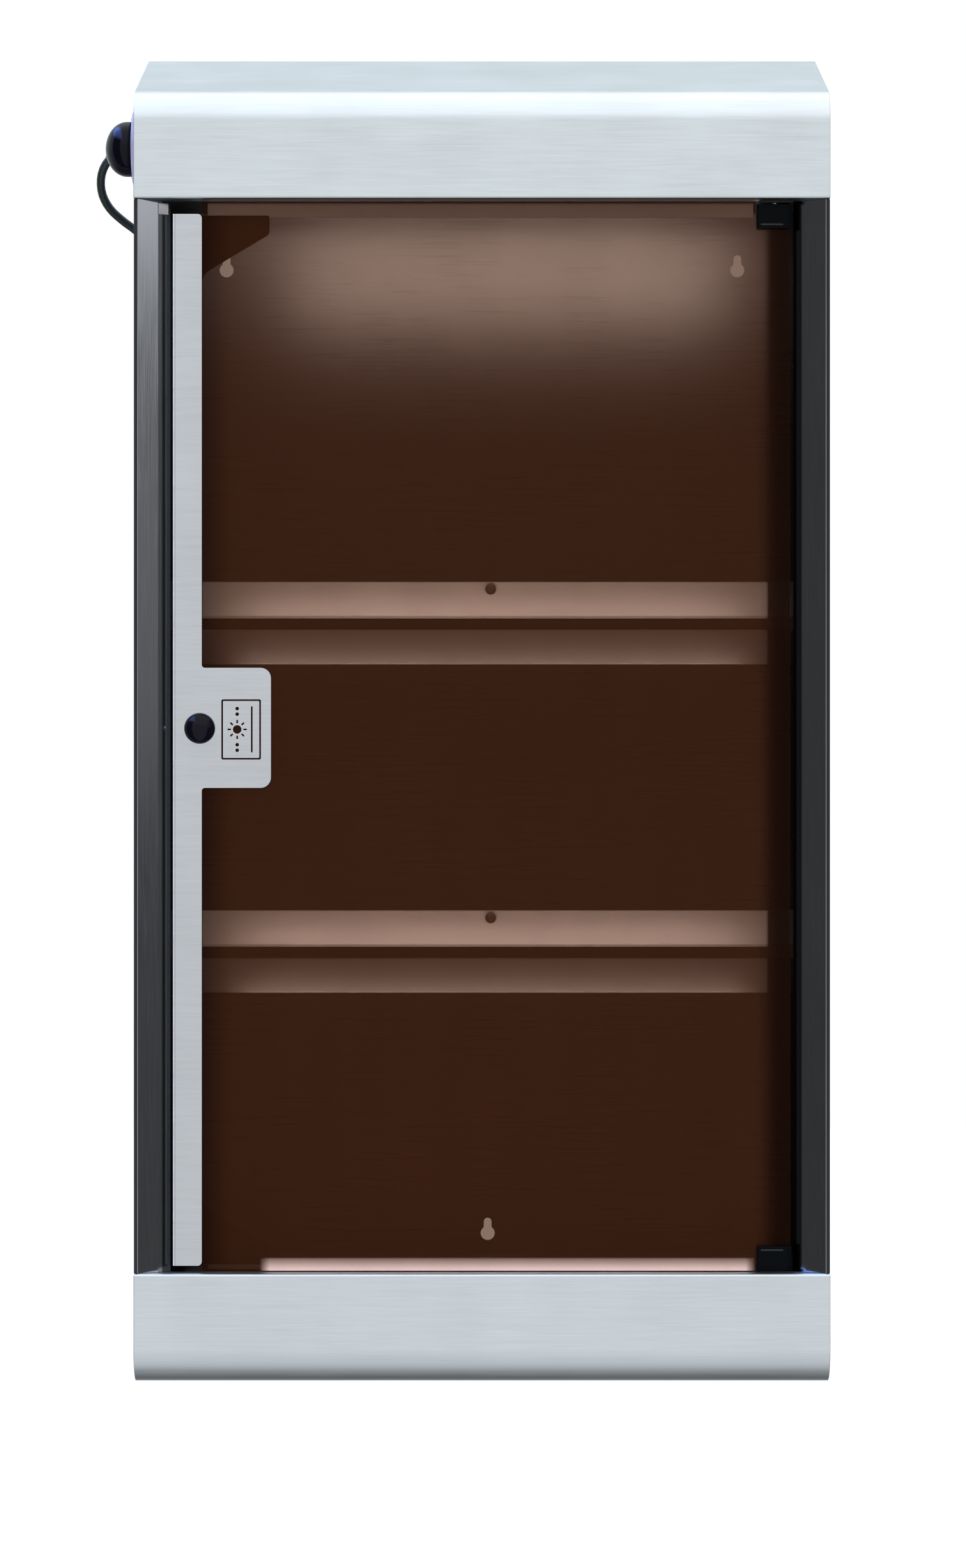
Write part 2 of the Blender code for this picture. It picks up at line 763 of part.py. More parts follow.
def make_pivot(name, low, high, mouth, pin_tip, grub_z, axis):
    """A clamp on the glass with a blind hole for the pin, from the end that faces the bracket."""
    top = name == "top"
    outline = rounded(
        [
            (CLAMP_LEFT, HINGE_Y - CLAMP_HALF_DEPTH),
            (CLAMP_RIGHT, HINGE_Y - CLAMP_HALF_DEPTH),
            (CLAMP_RIGHT, HINGE_Y + CLAMP_HALF_DEPTH),
            (CLAMP_LEFT, HINGE_Y + CLAMP_HALF_DEPTH),
        ],
        (0.0015, 0.005, 0.005, 0.0015),
    )
    middle = (low + high) / 2
    clamp = plate(
        f"hinge_clamp_{name}", outline, high - low, ALONG_Z, (0.0, 0.0, middle), "satin_black", axis
    )
    slot_low = (CLAMP_LEFT - 0.002, GLASS_FRONT - GAP, low - 0.002 if top else DOOR_BOTTOM - GAP)
    slot_high = (CLAMP_RIGHT + 0.002, GLASS_BACK + GAP, DOOR_TOP + GAP if top else high + 0.002)
    carve(clamp, slot_low, slot_high)
    hole_end = pin_tip - GAP if top else pin_tip + GAP
    hole_mouth = high + 0.001 if top else low - 0.001
    hole_at = (HINGE_X, HINGE_Y, (hole_end + hole_mouth) / 2)
    drill(clamp, PIN_RADIUS + GAP, hole_at, abs(hole_mouth - hole_end), ALONG_Z)
    grub_low = GLASS_BACK + GAP
    grub_high = HINGE_Y + CLAMP_HALF_DEPTH - 0.0002
    grub_x = 0.2040
    drill(clamp, 0.0022, (grub_x, grub_high, grub_z), 0.0080, ALONG_MINUS_Y, 16)
    grub_at = (grub_x, (grub_low + grub_high) / 2, grub_z)
    rod(
        f"hinge_grub_screw_{name}",
        0.0019,
        grub_at,
        grub_high - grub_low,
        ALONG_MINUS_Y,
        "bright_steel",
        16,
        axis,
    )
    bracket_low, bracket_high = mouth
    bracket = box(
        f"hinge_bracket_{name}",
        (0.2000, FRONT + 0.0080, bracket_low),
        (0.2240, FRONT + 0.0250, bracket_high),
        "galvanised",
    )
    drill(bracket, PIN_RADIUS + GAP, (HINGE_X, HINGE_Y, bracket_low), 0.010, ALONG_Z)
    pin_root = bracket_high if top else bracket_low
    pin_at = (HINGE_X, HINGE_Y, (pin_root + pin_tip) / 2)
    rod(f"hinge_pin_{name}", PIN_RADIUS, pin_at, abs(pin_root - pin_tip), ALONG_Z, "bright_steel")


def make_pivots(axis):
    under_hood = HOOD_BOTTOM - GAP
    over_base = BASE_TOP + GAP
    make_pivot("top", 0.8312, 0.8485, (under_hood - 0.0014, under_hood), 0.8438, 0.8362, axis)
    make_pivot("bottom", 0.0806, 0.0982, (over_base, over_base + 0.0006), 0.0830, 0.0930, axis)


# ---- Lamp --------------------------------------------------------------------------------------


def make_lamp():
    reflector = [(0.0177, 0.8970), (0.0280, 0.9120), (0.0560, 0.9120), (0.0728, 0.8930)]
    edge = LAMP_HALF_LENGTH
    sheet("lamp_reflector", reflector, "X", -edge, edge, (0, 0.8, -0.5), "bright_steel", 0.0008)
    cap = 0.0120
    cap_start = LAMP_HALF_LENGTH - cap
    profile = [
        (0.0, LAMP_HALF_LENGTH),
        (0.0120, LAMP_HALF_LENGTH),
        (0.0128, LAMP_HALF_LENGTH - 0.001),
        (0.0128, cap_start),
        (0.0124, cap_start - 0.002),
        (0.0130, cap_start - 0.006),
    ]
    profile += [(radius, -height) for radius, height in reversed(profile)]
    at = (0.0, LAMP_Y, LAMP_Z)
    lamp = turned("lamp_tube", profile, "lamp_glass", at, ALONG_X, 24)
    for name, side in (("left", -1), ("right", 1)):
        inner = LAMP_HALF_LENGTH + 0.0013
        outer = 0.2340
        holder = box(
            f"lamp_holder_{name}",
            (min(side * inner, side * outer), PARTITION_Y + GAP, LAMP_Z - 0.018),
            (max(side * inner, side * outer), LAMP_Y + 0.0140, LAMP_Z + 0.0300),
            "white_plastic",
            0.0015,
        )
        for pin_name, offset in (("low", -0.00635), ("high", 0.00635)):
            pin_x = side * (LAMP_HALF_LENGTH + 0.0030)
            pin_at = (pin_x, LAMP_Y, LAMP_Z + offset)
            combine(lamp, rod(f"lamp_pin_{name}_{pin_name}", 0.0012, pin_at, 0.010, ALONG_X, None, 12), "UNION")
            drill(holder, 0.0016, (side * inner, LAMP_Y, LAMP_Z + offset), 0.0180, ALONG_X, 12)


# ---- Electrics in the hood ---------------------------------------------------------------------


def make_electrics():
    tray_top = HOOD_BOTTOM + INSET
    box("ballast", (-0.0600, -0.0500, tray_top), (0.0900, -0.0100, tray_top + 0.0280), "galvanised", 0.0015)
    box("terminal_block", (-0.1490, -0.0420, tray_top), (-0.1190, -0.0180, tray_top + 0.0132), "white_plastic")
    socket_at = (0.1500, -0.0200, tray_top)
    socket = [(0.0, 0.0090), (0.0135, 0.0090), (0.0140, 0.0080), (0.0140, 0.0), (0.0, 0.0)]
    turned("starter_socket", socket, "white_plastic", socket_at, steps=24)
    starter_at = (socket_at[0], socket_at[1], tray_top + 0.0090 + GAP)
    starter = [(0.0, 0.0380), (0.0095, 0.0380), (0.0107, 0.0365), (0.0107, 0.0), (0.0, 0.0)]
    turned("starter", starter, "grey_plastic", starter_at, steps=24)
    supply = [
        (-0.2415, GLAND_Y, GLAND_Z),
        (-0.2392, 0.0400, 0.9048),
        (-0.2378, 0.0400, 0.9130),
        (-0.2388, 0.0360, 0.9300),
        (-0.2360, 0.0220, 0.9435),
        (-0.2300, 0.0080, 0.9430),
        (-0.2060, -0.0100, 0.9280),
        (-0.1800, -0.0250, 0.9000),
        (-0.1560, -0.0300, 0.8790),
        (-0.1400, -0.0300, 0.8700),
    ]
    lamp_lead = [
        (0.0906, -0.0300, 0.8700),
        (0.1050, -0.0300, 0.8790),
        (0.1250, -0.0260, 0.9080),
        (0.1600, -0.0020, 0.9340),
        (0.1980, 0.0160, 0.9440),
        (0.2200, 0.0280, 0.9340),
        (0.2270, 0.0360, 0.9190),
        (0.2272, 0.0370, 0.9106),
    ]
    tube("wire_supply", smooth_route(supply, 0.007), 0.0014, "copper_wire")
    tube("wire_lamp", smooth_route(lamp_lead, 0.007), 0.0014, "copper_wire")


def make_timer():
    inside = -INSIDE + GAP
    half = 0.0230
    body = box(
        "timer_body",
        (inside, TIMER_Y - half, TIMER_Z - half),
        (inside + 0.0320, TIMER_Y + half, TIMER_Z + half),
        "grey_plastic",
    )
    neck_end = -RIGHT - 0.0034
    neck_length = inside + 0.0020 - neck_end
    neck_at = (neck_end + neck_length / 2, TIMER_Y, TIMER_Z)
    combine(body, rod("timer_neck", 0.0050, neck_at, neck_length, ALONG_X, None), "UNION")
    bore_end = inside + 0.0150
    bore_start = neck_end - 0.0010
    bore_at = ((bore_start + bore_end) / 2, TIMER_Y, TIMER_Z)
    drill(body, 0.0033, bore_at, bore_end - bore_start, ALONG_X)
    shaft_tip = -RIGHT - 0.0170
    shaft_length = bore_end - 0.0010 - shaft_tip
    shaft_at = (shaft_tip + shaft_length / 2, TIMER_Y, TIMER_Z)
    rod("timer_shaft", 0.0030, shaft_at, shaft_length, ALONG_X, "bright_steel")
    outer = -RIGHT - GAP
    nut = [(0.0090, 0.0022), (0.0090, 0.0), (0.0062, 0.0), (0.0062, 0.0022)]
    turned("timer_nut", nut, "nickel", (outer, TIMER_Y, TIMER_Z), ALONG_MINUS_X, 6, ring=True)
    bezel = [
        (0.0250, 0.0050),
        (0.0270, 0.0042),
        (0.0275, 0.0026),
        (0.0275, 0.0),
        (0.0110, 0.0),
        (0.0110, 0.0050),
    ]
    turned("timer_bezel", bezel, "white_plastic", (outer, TIMER_Y, TIMER_Z), ALONG_MINUS_X, 40, ring=True)
    knob_base = outer - 0.0050 - GAP
    height = 0.0194
    knob = [(0.0, height)]
    for step in range(1, 8):
        angle = math.pi / 2 * step / 8
        knob.append((0.0196 * math.sin(angle), 0.0040 + (height - 0.0040) * math.cos(angle)))
    knob += [(0.0200, 0.0034), (0.0200, 0.0), (0.0033, 0.0), (0.0033, 0.0125), (0.0, 0.0125)]
    turned("timer_knob", knob, "gloss_black", (knob_base, TIMER_Y, TIMER_Z), ALONG_MINUS_X, 36)


# ---- Mains cord --------------------------------------------------------------------------------


def make_gland():
    outer = RIGHT + GAP
    inner = 0.2430
    at = (0.0, GLAND_Y, GLAND_Z)
    gland = [
        (0.0, outer + 0.0038),
        (0.0085, outer + 0.0038),
        (0.0100, outer + 0.0024),
        (0.0100, outer),
        (0.0070, outer),
        (0.0070, inner),
        (0.0, inner),
    ]
    turned("cord_gland", gland, "satin_black", at, ALONG_MINUS_X, 24)


def make_cord():
    """Strain relief, then the run down the back; their ends face each other across one gap."""
    joint = Vector(CORD_ROUTE[BOOT_POINTS])
    ahead = (Vector(CORD_ROUTE[BOOT_POINTS + 1]) - Vector(CORD_ROUTE[BOOT_POINTS - 1])).normalized()
    square = ahead * 0.0015
    start = joint + ahead * GAP
    boot = smooth_route(CORD_ROUTE[: BOOT_POINTS + 1], 0.0035)
    boot = [point for point in boot if (joint - point).length > 0.003]
    tube("cord_strain_relief", boot + [joint - square, joint], 0.0055, "rubber", taper=0.72)
    coil_end = (COIL_CENTRE[0] - GAP, COIL_FRONT_Y, COIL_LOW_ROW)
    coil_way = (COIL_CENTRE[0] - 0.0160, COIL_FRONT_Y, COIL_LOW_ROW)
    rest = smooth_route([start + square] + CORD_ROUTE[BOOT_POINTS + 1 :] + [coil_way, coil_end], 0.0150)
    tube("mains_cord", [start] + rest, CORD_RADIUS, "rubber")
    make_coil()
    make_plug()


def make_coil():
    """Four turns of cord, each on the one below, as the ring that they fill."""
    inner = COIL_RADIUS - CORD_RADIUS
    outer = COIL_RADIUS + CORD_RADIUS
    height = COIL_TURNS * COIL_PITCH + 2 * CORD_RADIUS
    corner = 0.0025
    profile = rounded(
        [(outer, height), (outer, 0.0), (inner, 0.0), (inner, height)], [corner] * 4, 3
    )
    at = (*COIL_CENTRE, COIL_BOTTOM)
    coil = turned("cord_coil", profile, "rubber", at, ALONG_Z, 48, ring=True)
    reach = 0.0260
    past_middle = 0.0007
    clear = CORD_RADIUS + GAP
    notch_front = COIL_FRONT_Y - 0.0050
    notch_back = COIL_FRONT_Y + 0.0062
    carve(
        coil,
        (COIL_CENTRE[0] - reach, notch_front, COIL_BOTTOM - 0.0010),
        (COIL_CENTRE[0] + past_middle, notch_back, COIL_LOW_ROW + clear),
    )
    carve(
        coil,
        (COIL_CENTRE[0] - past_middle, notch_front, COIL_HIGH_ROW - clear),
        (COIL_CENTRE[0] + reach, notch_back, COIL_BOTTOM + height + 0.0010),
    )
    tie_x = COIL_CENTRE[0]
    tie_y = COIL_CENTRE[1] + COIL_RADIUS
    band = 0.0010
    half_width = 0.0035
    side = CORD_RADIUS + 2 * GAP
    low = COIL_BOTTOM - GAP
    high = COIL_BOTTOM + height + GAP
    tie = box(
        "cord_tie",
        (tie_x - half_width, tie_y - side - band, low - band),
        (tie_x + half_width, tie_y + side + band, high + band),
        "satin_black",
    )
    carve(tie, (tie_x - 0.006, tie_y - side, low), (tie_x + 0.006, tie_y + side, high))
    tail = [
        (COIL_CENTRE[0] + GAP, COIL_FRONT_Y, COIL_HIGH_ROW),
        (COIL_CENTRE[0] + 0.0100, COIL_FRONT_Y, COIL_HIGH_ROW),
        (COIL_CENTRE[0] + 0.0200, COIL_FRONT_Y, COIL_HIGH_ROW - 0.0001),
        (COIL_CENTRE[0] + 0.0320, COIL_FRONT_Y, COIL_HIGH_ROW - 0.0033),
        (COIL_CENTRE[0] + 0.0440, COIL_FRONT_Y, PLUG_Z + 0.0043),
        (COIL_CENTRE[0] + 0.0540, COIL_FRONT_Y, PLUG_Z + 0.0008),
        (PLUG_X - GAP, COIL_FRONT_Y, PLUG_Z),
    ]
    tube("cord_tail", smooth_route(tail, 0.0070), CORD_RADIUS, "rubber")


def make_plug():
    at = (PLUG_X, COIL_FRONT_Y, PLUG_Z)
    profile = [
        (0.0, 0.0430),
        (0.0165, 0.0430),
        (0.0178, 0.0415),
        (0.0180, 0.0240),
        (0.0150, 0.0170),
        (0.0075, 0.0110),
        (0.0048, 0.0),
        (0.0, 0.0),
    ]
    plug = turned("mains_plug", profile, "rubber", at, ALONG_X, 28)
    for name, offset in (("left", -0.0095), ("right", 0.0095)):
        pin_at = (PLUG_X + 0.0430 + 0.0075, COIL_FRONT_Y + offset, PLUG_Z)
        combine(plug, rod(f"plug_pin_{name}", 0.0024, pin_at, 0.0230, ALONG_X, None, 16), "UNION")


def main():
    make_back_panel()
    make_side_panels()
    make_hood_skin()
    make_hood_cheeks()
    make_electrics_tray()
    make_base()
    make_door_stops()
    make_catch()
    for name, low in RACK_HEIGHTS.items():
        make_rack(name, low)
    axis = bpy.data.objects.new("door_axis", None)
    axis.location = (HINGE_X, HINGE_Y, 0.0)
    PARTS.objects.link(axis)
    make_door(axis)
    make_pivots(axis)
    make_lamp()
    make_electrics()
    make_timer()
    make_gland()
    make_cord()
    bpy.context.view_layer.update()


main()
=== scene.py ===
"""UV tool sterilizer cabinet: camera, light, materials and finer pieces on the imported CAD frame.

Metres, +Z up, the door faces -Y. Pieces are built where the CAD says and ride on its bodies.
"""

import json
import math

import bmesh
import bpy
from mathutils import Matrix, Vector


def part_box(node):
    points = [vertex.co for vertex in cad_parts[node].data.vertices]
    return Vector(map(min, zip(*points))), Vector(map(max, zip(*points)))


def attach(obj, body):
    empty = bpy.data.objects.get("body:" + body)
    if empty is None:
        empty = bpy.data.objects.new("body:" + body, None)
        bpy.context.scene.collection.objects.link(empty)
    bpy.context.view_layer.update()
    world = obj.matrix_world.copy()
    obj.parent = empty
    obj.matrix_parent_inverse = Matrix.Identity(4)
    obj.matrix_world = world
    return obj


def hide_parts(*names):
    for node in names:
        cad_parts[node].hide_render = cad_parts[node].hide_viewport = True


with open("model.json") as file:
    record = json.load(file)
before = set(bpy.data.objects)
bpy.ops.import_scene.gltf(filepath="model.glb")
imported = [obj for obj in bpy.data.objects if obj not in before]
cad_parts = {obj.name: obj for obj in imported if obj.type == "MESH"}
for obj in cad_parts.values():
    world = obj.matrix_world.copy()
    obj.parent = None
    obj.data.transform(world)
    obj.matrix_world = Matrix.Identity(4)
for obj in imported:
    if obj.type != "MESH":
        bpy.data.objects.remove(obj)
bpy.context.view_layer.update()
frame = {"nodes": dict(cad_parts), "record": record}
NODES = frame["nodes"]

BODY_OF = {}
for body_name, members in frame["record"]["behaviour"]["bodies"].items():
    for member in members:
        BODY_OF[member] = body_name

AXIS_X = Matrix.Rotation(math.pi / 2, 4, "Y")
AXIS_MINUS_X = Matrix.Rotation(-math.pi / 2, 4, "Y")
AXIS_MINUS_Y = Matrix.Rotation(math.pi / 2, 4, "X")


def link_new(name, data):
    """A new object, linked to the scene."""
    obj = bpy.data.objects.new(name, data)
    bpy.context.scene.collection.objects.link(obj)
    return obj


# ---- Camera ------------------------------------------------------------------------------------

CAMERA_AT = (0.0008, -3.335, 0.431)
CAMERA_LENS = 104.3


def make_camera():
    data = bpy.data.cameras.new("camera")
    data.lens = CAMERA_LENS
    data.sensor_width = 36.0
    data.clip_end = 50.0
    camera = link_new("camera", data)
    camera.location = CAMERA_AT
    camera.rotation_euler = (math.pi / 2, 0.0, 0.0)
    bpy.context.scene.camera = camera


make_camera()


# ---- Materials ---------------------------------------------------------------------------------

# Each pair says where a change of finish, or of painted highlight, glow and shade, starts and ends along
# one axis.
STRIP_FOLD_HIGHLIGHT_X = (-0.2216, -0.2214)
STRIP_SHADE_START_X = (-0.2215, -0.2213)
STRIP_SHADE_END_X = (-0.2210, -0.2206)
BACK_PANEL_SHADE_X = (0.2110, 0.2165)
RACK_SHADE_X = (0.2125, 0.2145)
REAR_FACE_Y = (0.0744, 0.0748)
SIDE_FOLD_SHADE_X = (0.2468, 0.2474)
SIDE_FRONT_SHADE_Y = (-0.0712, -0.0706)
DOOR_EDGE_SHADE_X = (0.2298, 0.2308)
PANE_SHADE_LEFT_X = (-0.1975, -0.1800)
PANE_SHADE_RIGHT_X = (0.1970, 0.2120)
PANE_GLOW_LEFT_X = (-0.160, -0.153)
PANE_GLOW_RIGHT_X = (0.190, 0.197)
PANE_GLOW_FADE_Z = (0.0815, 0.0888)
PANE_GLOW_TOP_Z = (0.0888, 0.0898)


class Graph:
    """The node tree of a material or a world, built from small steps."""

    def __init__(self, tree):
        self.tree = tree

    def node(self, kind, **settings):
        node = self.tree.nodes.new("ShaderNode" + kind)
        for key, value in settings.items():
            setattr(node, key, value)
        return node

    def link(self, output, socket):
        self.tree.links.new(output, socket)

    def math(self, operation, first, second=0.0):
        node = self.node("Math", operation=operation)
        for socket, value in zip(node.inputs, (first, second)):
            if isinstance(value, (int, float)):
                socket.default_value = value
            else:
                self.link(value, socket)
        return node.outputs["Value"]

    def plus(self, first, second):
        return self.math("ADD", first, second)

    def minus(self, first, second):
        return self.math("SUBTRACT", first, second)

    def times(self, first, second):
        return self.math("MULTIPLY", first, second)

    def spread(self, value, low, high, start=0.3, end=0.7, easing="LINEAR"):
        """From low to high while the value goes from start to end."""
        ramp = self.node("MapRange", interpolation_type=easing)
        numbers = {"From Min": start, "From Max": end, "To Min": low, "To Max": high}
        for key, number in numbers.items():
            ramp.inputs[key].default_value = number
        self.link(value, ramp.inputs["Value"])
        return ramp.outputs["Result"]

    def split(self, vector):
        node = self.node("SeparateXYZ")
        self.link(vector, node.inputs["Vector"])
        return node.outputs


class Finish(Graph):
    """A material that varies over the object's own coordinates."""

    def __init__(self, name, colour, roughness, metallic=0.0):
        self.material = bpy.data.materials.new(name)
        self.material.use_nodes = True
        super().__init__(self.material.node_tree)
        self.shader = self.tree.nodes["Principled BSDF"]
        self.colour = colour
        self.set("Base Color", (*colour, 1.0))
        self.set("Roughness", roughness)
        self.set("Metallic", metallic)

    def set(self, key, value):
        self.shader.inputs[key].default_value = value

    def place(self, scale=(1.0, 1.0, 1.0)):
        coords = self.node("TexCoord")
        mapping = self.node("Mapping")
        mapping.inputs["Scale"].default_value = scale
        self.link(coords.outputs["Object"], mapping.inputs["Vector"])
        return mapping.outputs["Vector"]

    def noise(self, size, stretch=(1.0, 1.0, 1.0), detail=3.0, roughness=0.5):
        """Noise whose features are about size metres, drawn out by stretch on each axis."""
        vector = self.place(tuple(1.0 / (size * part) for part in stretch))
        noise = self.node("TexNoise")
        noise.inputs["Scale"].default_value = 1.0
        noise.inputs["Detail"].default_value = detail
        noise.inputs["Roughness"].default_value = roughness
        self.link(vector, noise.inputs["Vector"])
        return noise.outputs["Fac"]

    def scaled(self, colour, value):
        """Base colour: a colour, fixed or linked, times a number that varies over the surface."""
        scale = self.node("VectorMath", operation="SCALE")
        if isinstance(colour, tuple):
            scale.inputs[0].default_value = colour
        else:
            self.link(colour, scale.inputs[0])
        self.link(value, scale.inputs["Scale"])
        self.link(scale.outputs["Vector"], self.shader.inputs["Base Color"])

    def tone(self, value):
        self.scaled(self.colour, value)

    def retone(self, value):
        """Multiply the base colour that is already linked."""
        self.scaled(self.shader.inputs["Base Color"].links[0].from_socket, value)

    def rough(self, value):
        self.link(value, self.shader.inputs["Roughness"])

    def bump(self, value, distance, strength=1.0):
        node = self.node("Bump")
        node.inputs["Distance"].default_value = distance
        node.inputs["Strength"].default_value = strength
        self.link(value, node.inputs["Height"])
        self.link(node.outputs["Normal"], self.shader.inputs["Normal"])


def brushed(name, colour, roughness, along, streak=0.0007, spread=0.05, metallic=1.0):
    """Brushed sheet: long fine streaks along one axis, faint patches, and smudges in the gloss."""
    finish = Finish(name, colour, roughness, metallic)

    def drawn_out(length):
        return tuple(length if axis == along else 1.0 for axis in "XYZ")

    streaks = finish.noise(streak, drawn_out(60.0), 2.0, 0.6)
    bands = finish.noise(streak * 4.0, drawn_out(26.0), 3.0, 0.55)
    patches = finish.noise(0.060)
    lines = finish.plus(finish.times(streaks, 0.6), finish.times(bands, 0.4))
    line_tone = finish.spread(lines, 1.0 - spread, 1.0 + spread * 0.6, 0.32, 0.68)
    finish.tone(finish.times(line_tone, finish.spread(patches, 0.96, 1.03)))
    line_gloss = finish.spread(lines, roughness - 0.05, roughness + 0.05, 0.35, 0.65)
    finish.rough(finish.plus(line_gloss, finish.spread(patches, -0.02, 0.03)))
    finish.bump(streaks, 0.000004, 0.6)
    return finish


def moulded(name, colour, roughness, grain, depth, specular=0.5):
    """Moulded plastic or rubber: fine grain, uneven gloss, slight tone drift and handling marks."""
    finish = Finish(name, colour, roughness)
    finish.set("Specular IOR Level", specular)
    fine = finish.noise(grain, detail=2.0)
    wide = finish.noise(0.012)
    finish.tone(finish.spread(wide, 0.88, 1.12))
    gloss = finish.spread(wide, max(roughness - 0.05, 0.02), roughness + 0.06)
    finish.rough(finish.plus(gloss, finish.spread(fine, -0.02, 0.02)))
    finish.bump(fine, depth, 0.5)
    return finish


def make_bright_steel():
    """Bright turned steel."""
    finish = Finish("bright_steel", (0.74, 0.74, 0.72), 0.22, 1.0)
    turning = finish.noise(0.0005, detail=2.0)
    finish.tone(finish.spread(turning, 0.90, 1.06))
    finish.rough(finish.spread(turning, 0.16, 0.30))
    finish.bump(turning, 0.000005, 0.5)
    return finish


def make_zinc():
    """Galvanised sheet with its spangle."""
    finish = Finish("galvanised", (0.50, 0.52, 0.53), 0.45, 0.9)
    flakes = finish.node("TexVoronoi")
    flakes.inputs["Scale"].default_value = 1.0
    finish.link(finish.place((160.0, 160.0, 160.0)), flakes.inputs["Vector"])
    spangle = flakes.outputs["Distance"]
    finish.tone(finish.spread(spangle, 0.82, 1.12, 0.0, 0.9))
    finish.rough(finish.spread(spangle, 0.34, 0.56, 0.0, 0.9))
    finish.bump(spangle, 0.00001, 0.4)
    return finish


def paint_fold_highlight(finish):
    """The strip's folded outer edge: a painted highlight along it, then a fine line of painted shade."""
    across = finish.split(finish.place())["X"]
    # Painted highlight on the fold, and painted shade just inside it.
    bright = finish.spread(across, 1.0, 0.0, *STRIP_FOLD_HIGHLIGHT_X)
    dark = finish.times(
        finish.spread(across, 0.0, 1.0, *STRIP_SHADE_START_X),
        finish.spread(across, 1.0, 0.0, *STRIP_SHADE_END_X),
    )
    lit = finish.plus(1.0, finish.times(bright, 0.55))
    finish.retone(finish.minus(lit, finish.times(dark, 0.45)))


def paint_shade_at_ends(finish, where, lowest):
    """Painted shade near the side panels, but plain steel on the rear face of the cabinet, where the
    dark colour is lifted.
    """
    x, y, _ = finish.split(finish.place())
    shade_of_side = finish.spread(finish.math("ABSOLUTE", x), 1.0, lowest, *where)
    rear_gain = 3.4
    outside = finish.spread(y, 0.0, rear_gain, *REAR_FACE_Y)
    finish.retone(finish.plus(outside, shade_of_side))


def make_side_steel():
    """Side sheet, brushed upright, with painted shade: a dark line along its sharp front fold, and a
    darker flange where it runs in behind the door's edge.
    """
    finish = Finish("steel_side", (0.600, 0.625, 0.680), 0.17, 1.0)
    streaks = finish.noise(0.0007, (1.0, 1.0, 60.0), 2.0, 0.6)
    patches = finish.noise(0.050, (1.0, 1.0, 2.0))
    x, y, _ = finish.split(finish.place())
    reach = finish.math("ABSOLUTE", x)
    at_side = finish.spread(reach, 0.0, 1.0, *SIDE_FOLD_SHADE_X)
    at_front = finish.spread(y, 1.0, 0.0, *SIDE_FRONT_SHADE_Y)
    # Painted shade: a dark, dull, not metallic line along the front fold.
    outside_fold_shade = finish.minus(1.0, finish.times(finish.times(at_side, at_front), 0.97))
    # Painted shade on the flange behind the door's edge.
    door_edge_shade = finish.spread(reach, 0.22, 1.0, *DOOR_EDGE_SHADE_X)
    streak_tone = finish.times(finish.spread(streaks, 0.94, 1.04), finish.spread(patches, 0.96, 1.03))
    finish.tone(finish.times(streak_tone, finish.times(outside_fold_shade, door_edge_shade)))
    finish.link(outside_fold_shade, finish.shader.inputs["Metallic"])
    dull = finish.times(finish.minus(1.0, outside_fold_shade), 0.8)
    finish.rough(finish.plus(finish.spread(streaks, 0.08, 0.14), dull))
    finish.bump(streaks, 0.000002, 0.4)
    return finish


def make_pane():
    """Bronze acrylic: a clear tint behind a thin brown haze, with a painted glow along its lower edge
    and painted shade towards its ends.
    """
    finish = Finish("tinted_pane", (0.050, 0.0155, 0.0061), 0.10)
    finish.set("Specular IOR Level", 0.03)
    marks = finish.noise(0.030, (1.0, 1.0, 4.0))
    x, _, z = finish.split(finish.place())
    # Painted glow along the lower edge: a warm light colour there, and less clear.
    along = finish.times(
        finish.spread(x, 0.0, 1.0, *PANE_GLOW_LEFT_X), finish.spread(x, 1.0, 0.0, *PANE_GLOW_RIGHT_X)
    )
    edge = finish.times(finish.spread(z, 1.0, 0.25, *PANE_GLOW_FADE_Z), along)
    edge = finish.times(edge, finish.spread(z, 1.0, 0.0, *PANE_GLOW_TOP_Z))
    haze = finish.node("Mix", data_type="RGBA")
    haze.inputs["A"].default_value = (*finish.colour, 1.0)
    haze.inputs["B"].default_value = (1.00, 0.72, 0.62, 1.0)
    finish.link(edge, haze.inputs["Factor"])
    # Painted shade towards both ends of the pane.
    ends = finish.times(
        finish.spread(x, 0.45, 1.0, *PANE_SHADE_LEFT_X), finish.spread(x, 1.0, 0.25, *PANE_SHADE_RIGHT_X)
    )
    finish.scaled(haze.outputs["Result"], finish.times(finish.spread(marks, 0.96, 1.04), ends))
    finish.rough(finish.spread(marks, 0.07, 0.14))
    clear = finish.node("BsdfTransparent")
    clear.inputs["Color"].default_value = (0.97, 0.82, 0.74, 1.0)
    mix = finish.node("MixShader")
    finish.link(finish.spread(edge, 0.55, 0.90, 0.0, 1.0), mix.inputs["Fac"])
    finish.link(clear.outputs["BSDF"], mix.inputs[1])
    finish.link(finish.shader.outputs["BSDF"], mix.inputs[2])
    finish.link(mix.outputs["Shader"], finish.tree.nodes["Material Output"].inputs["Surface"])
    return finish


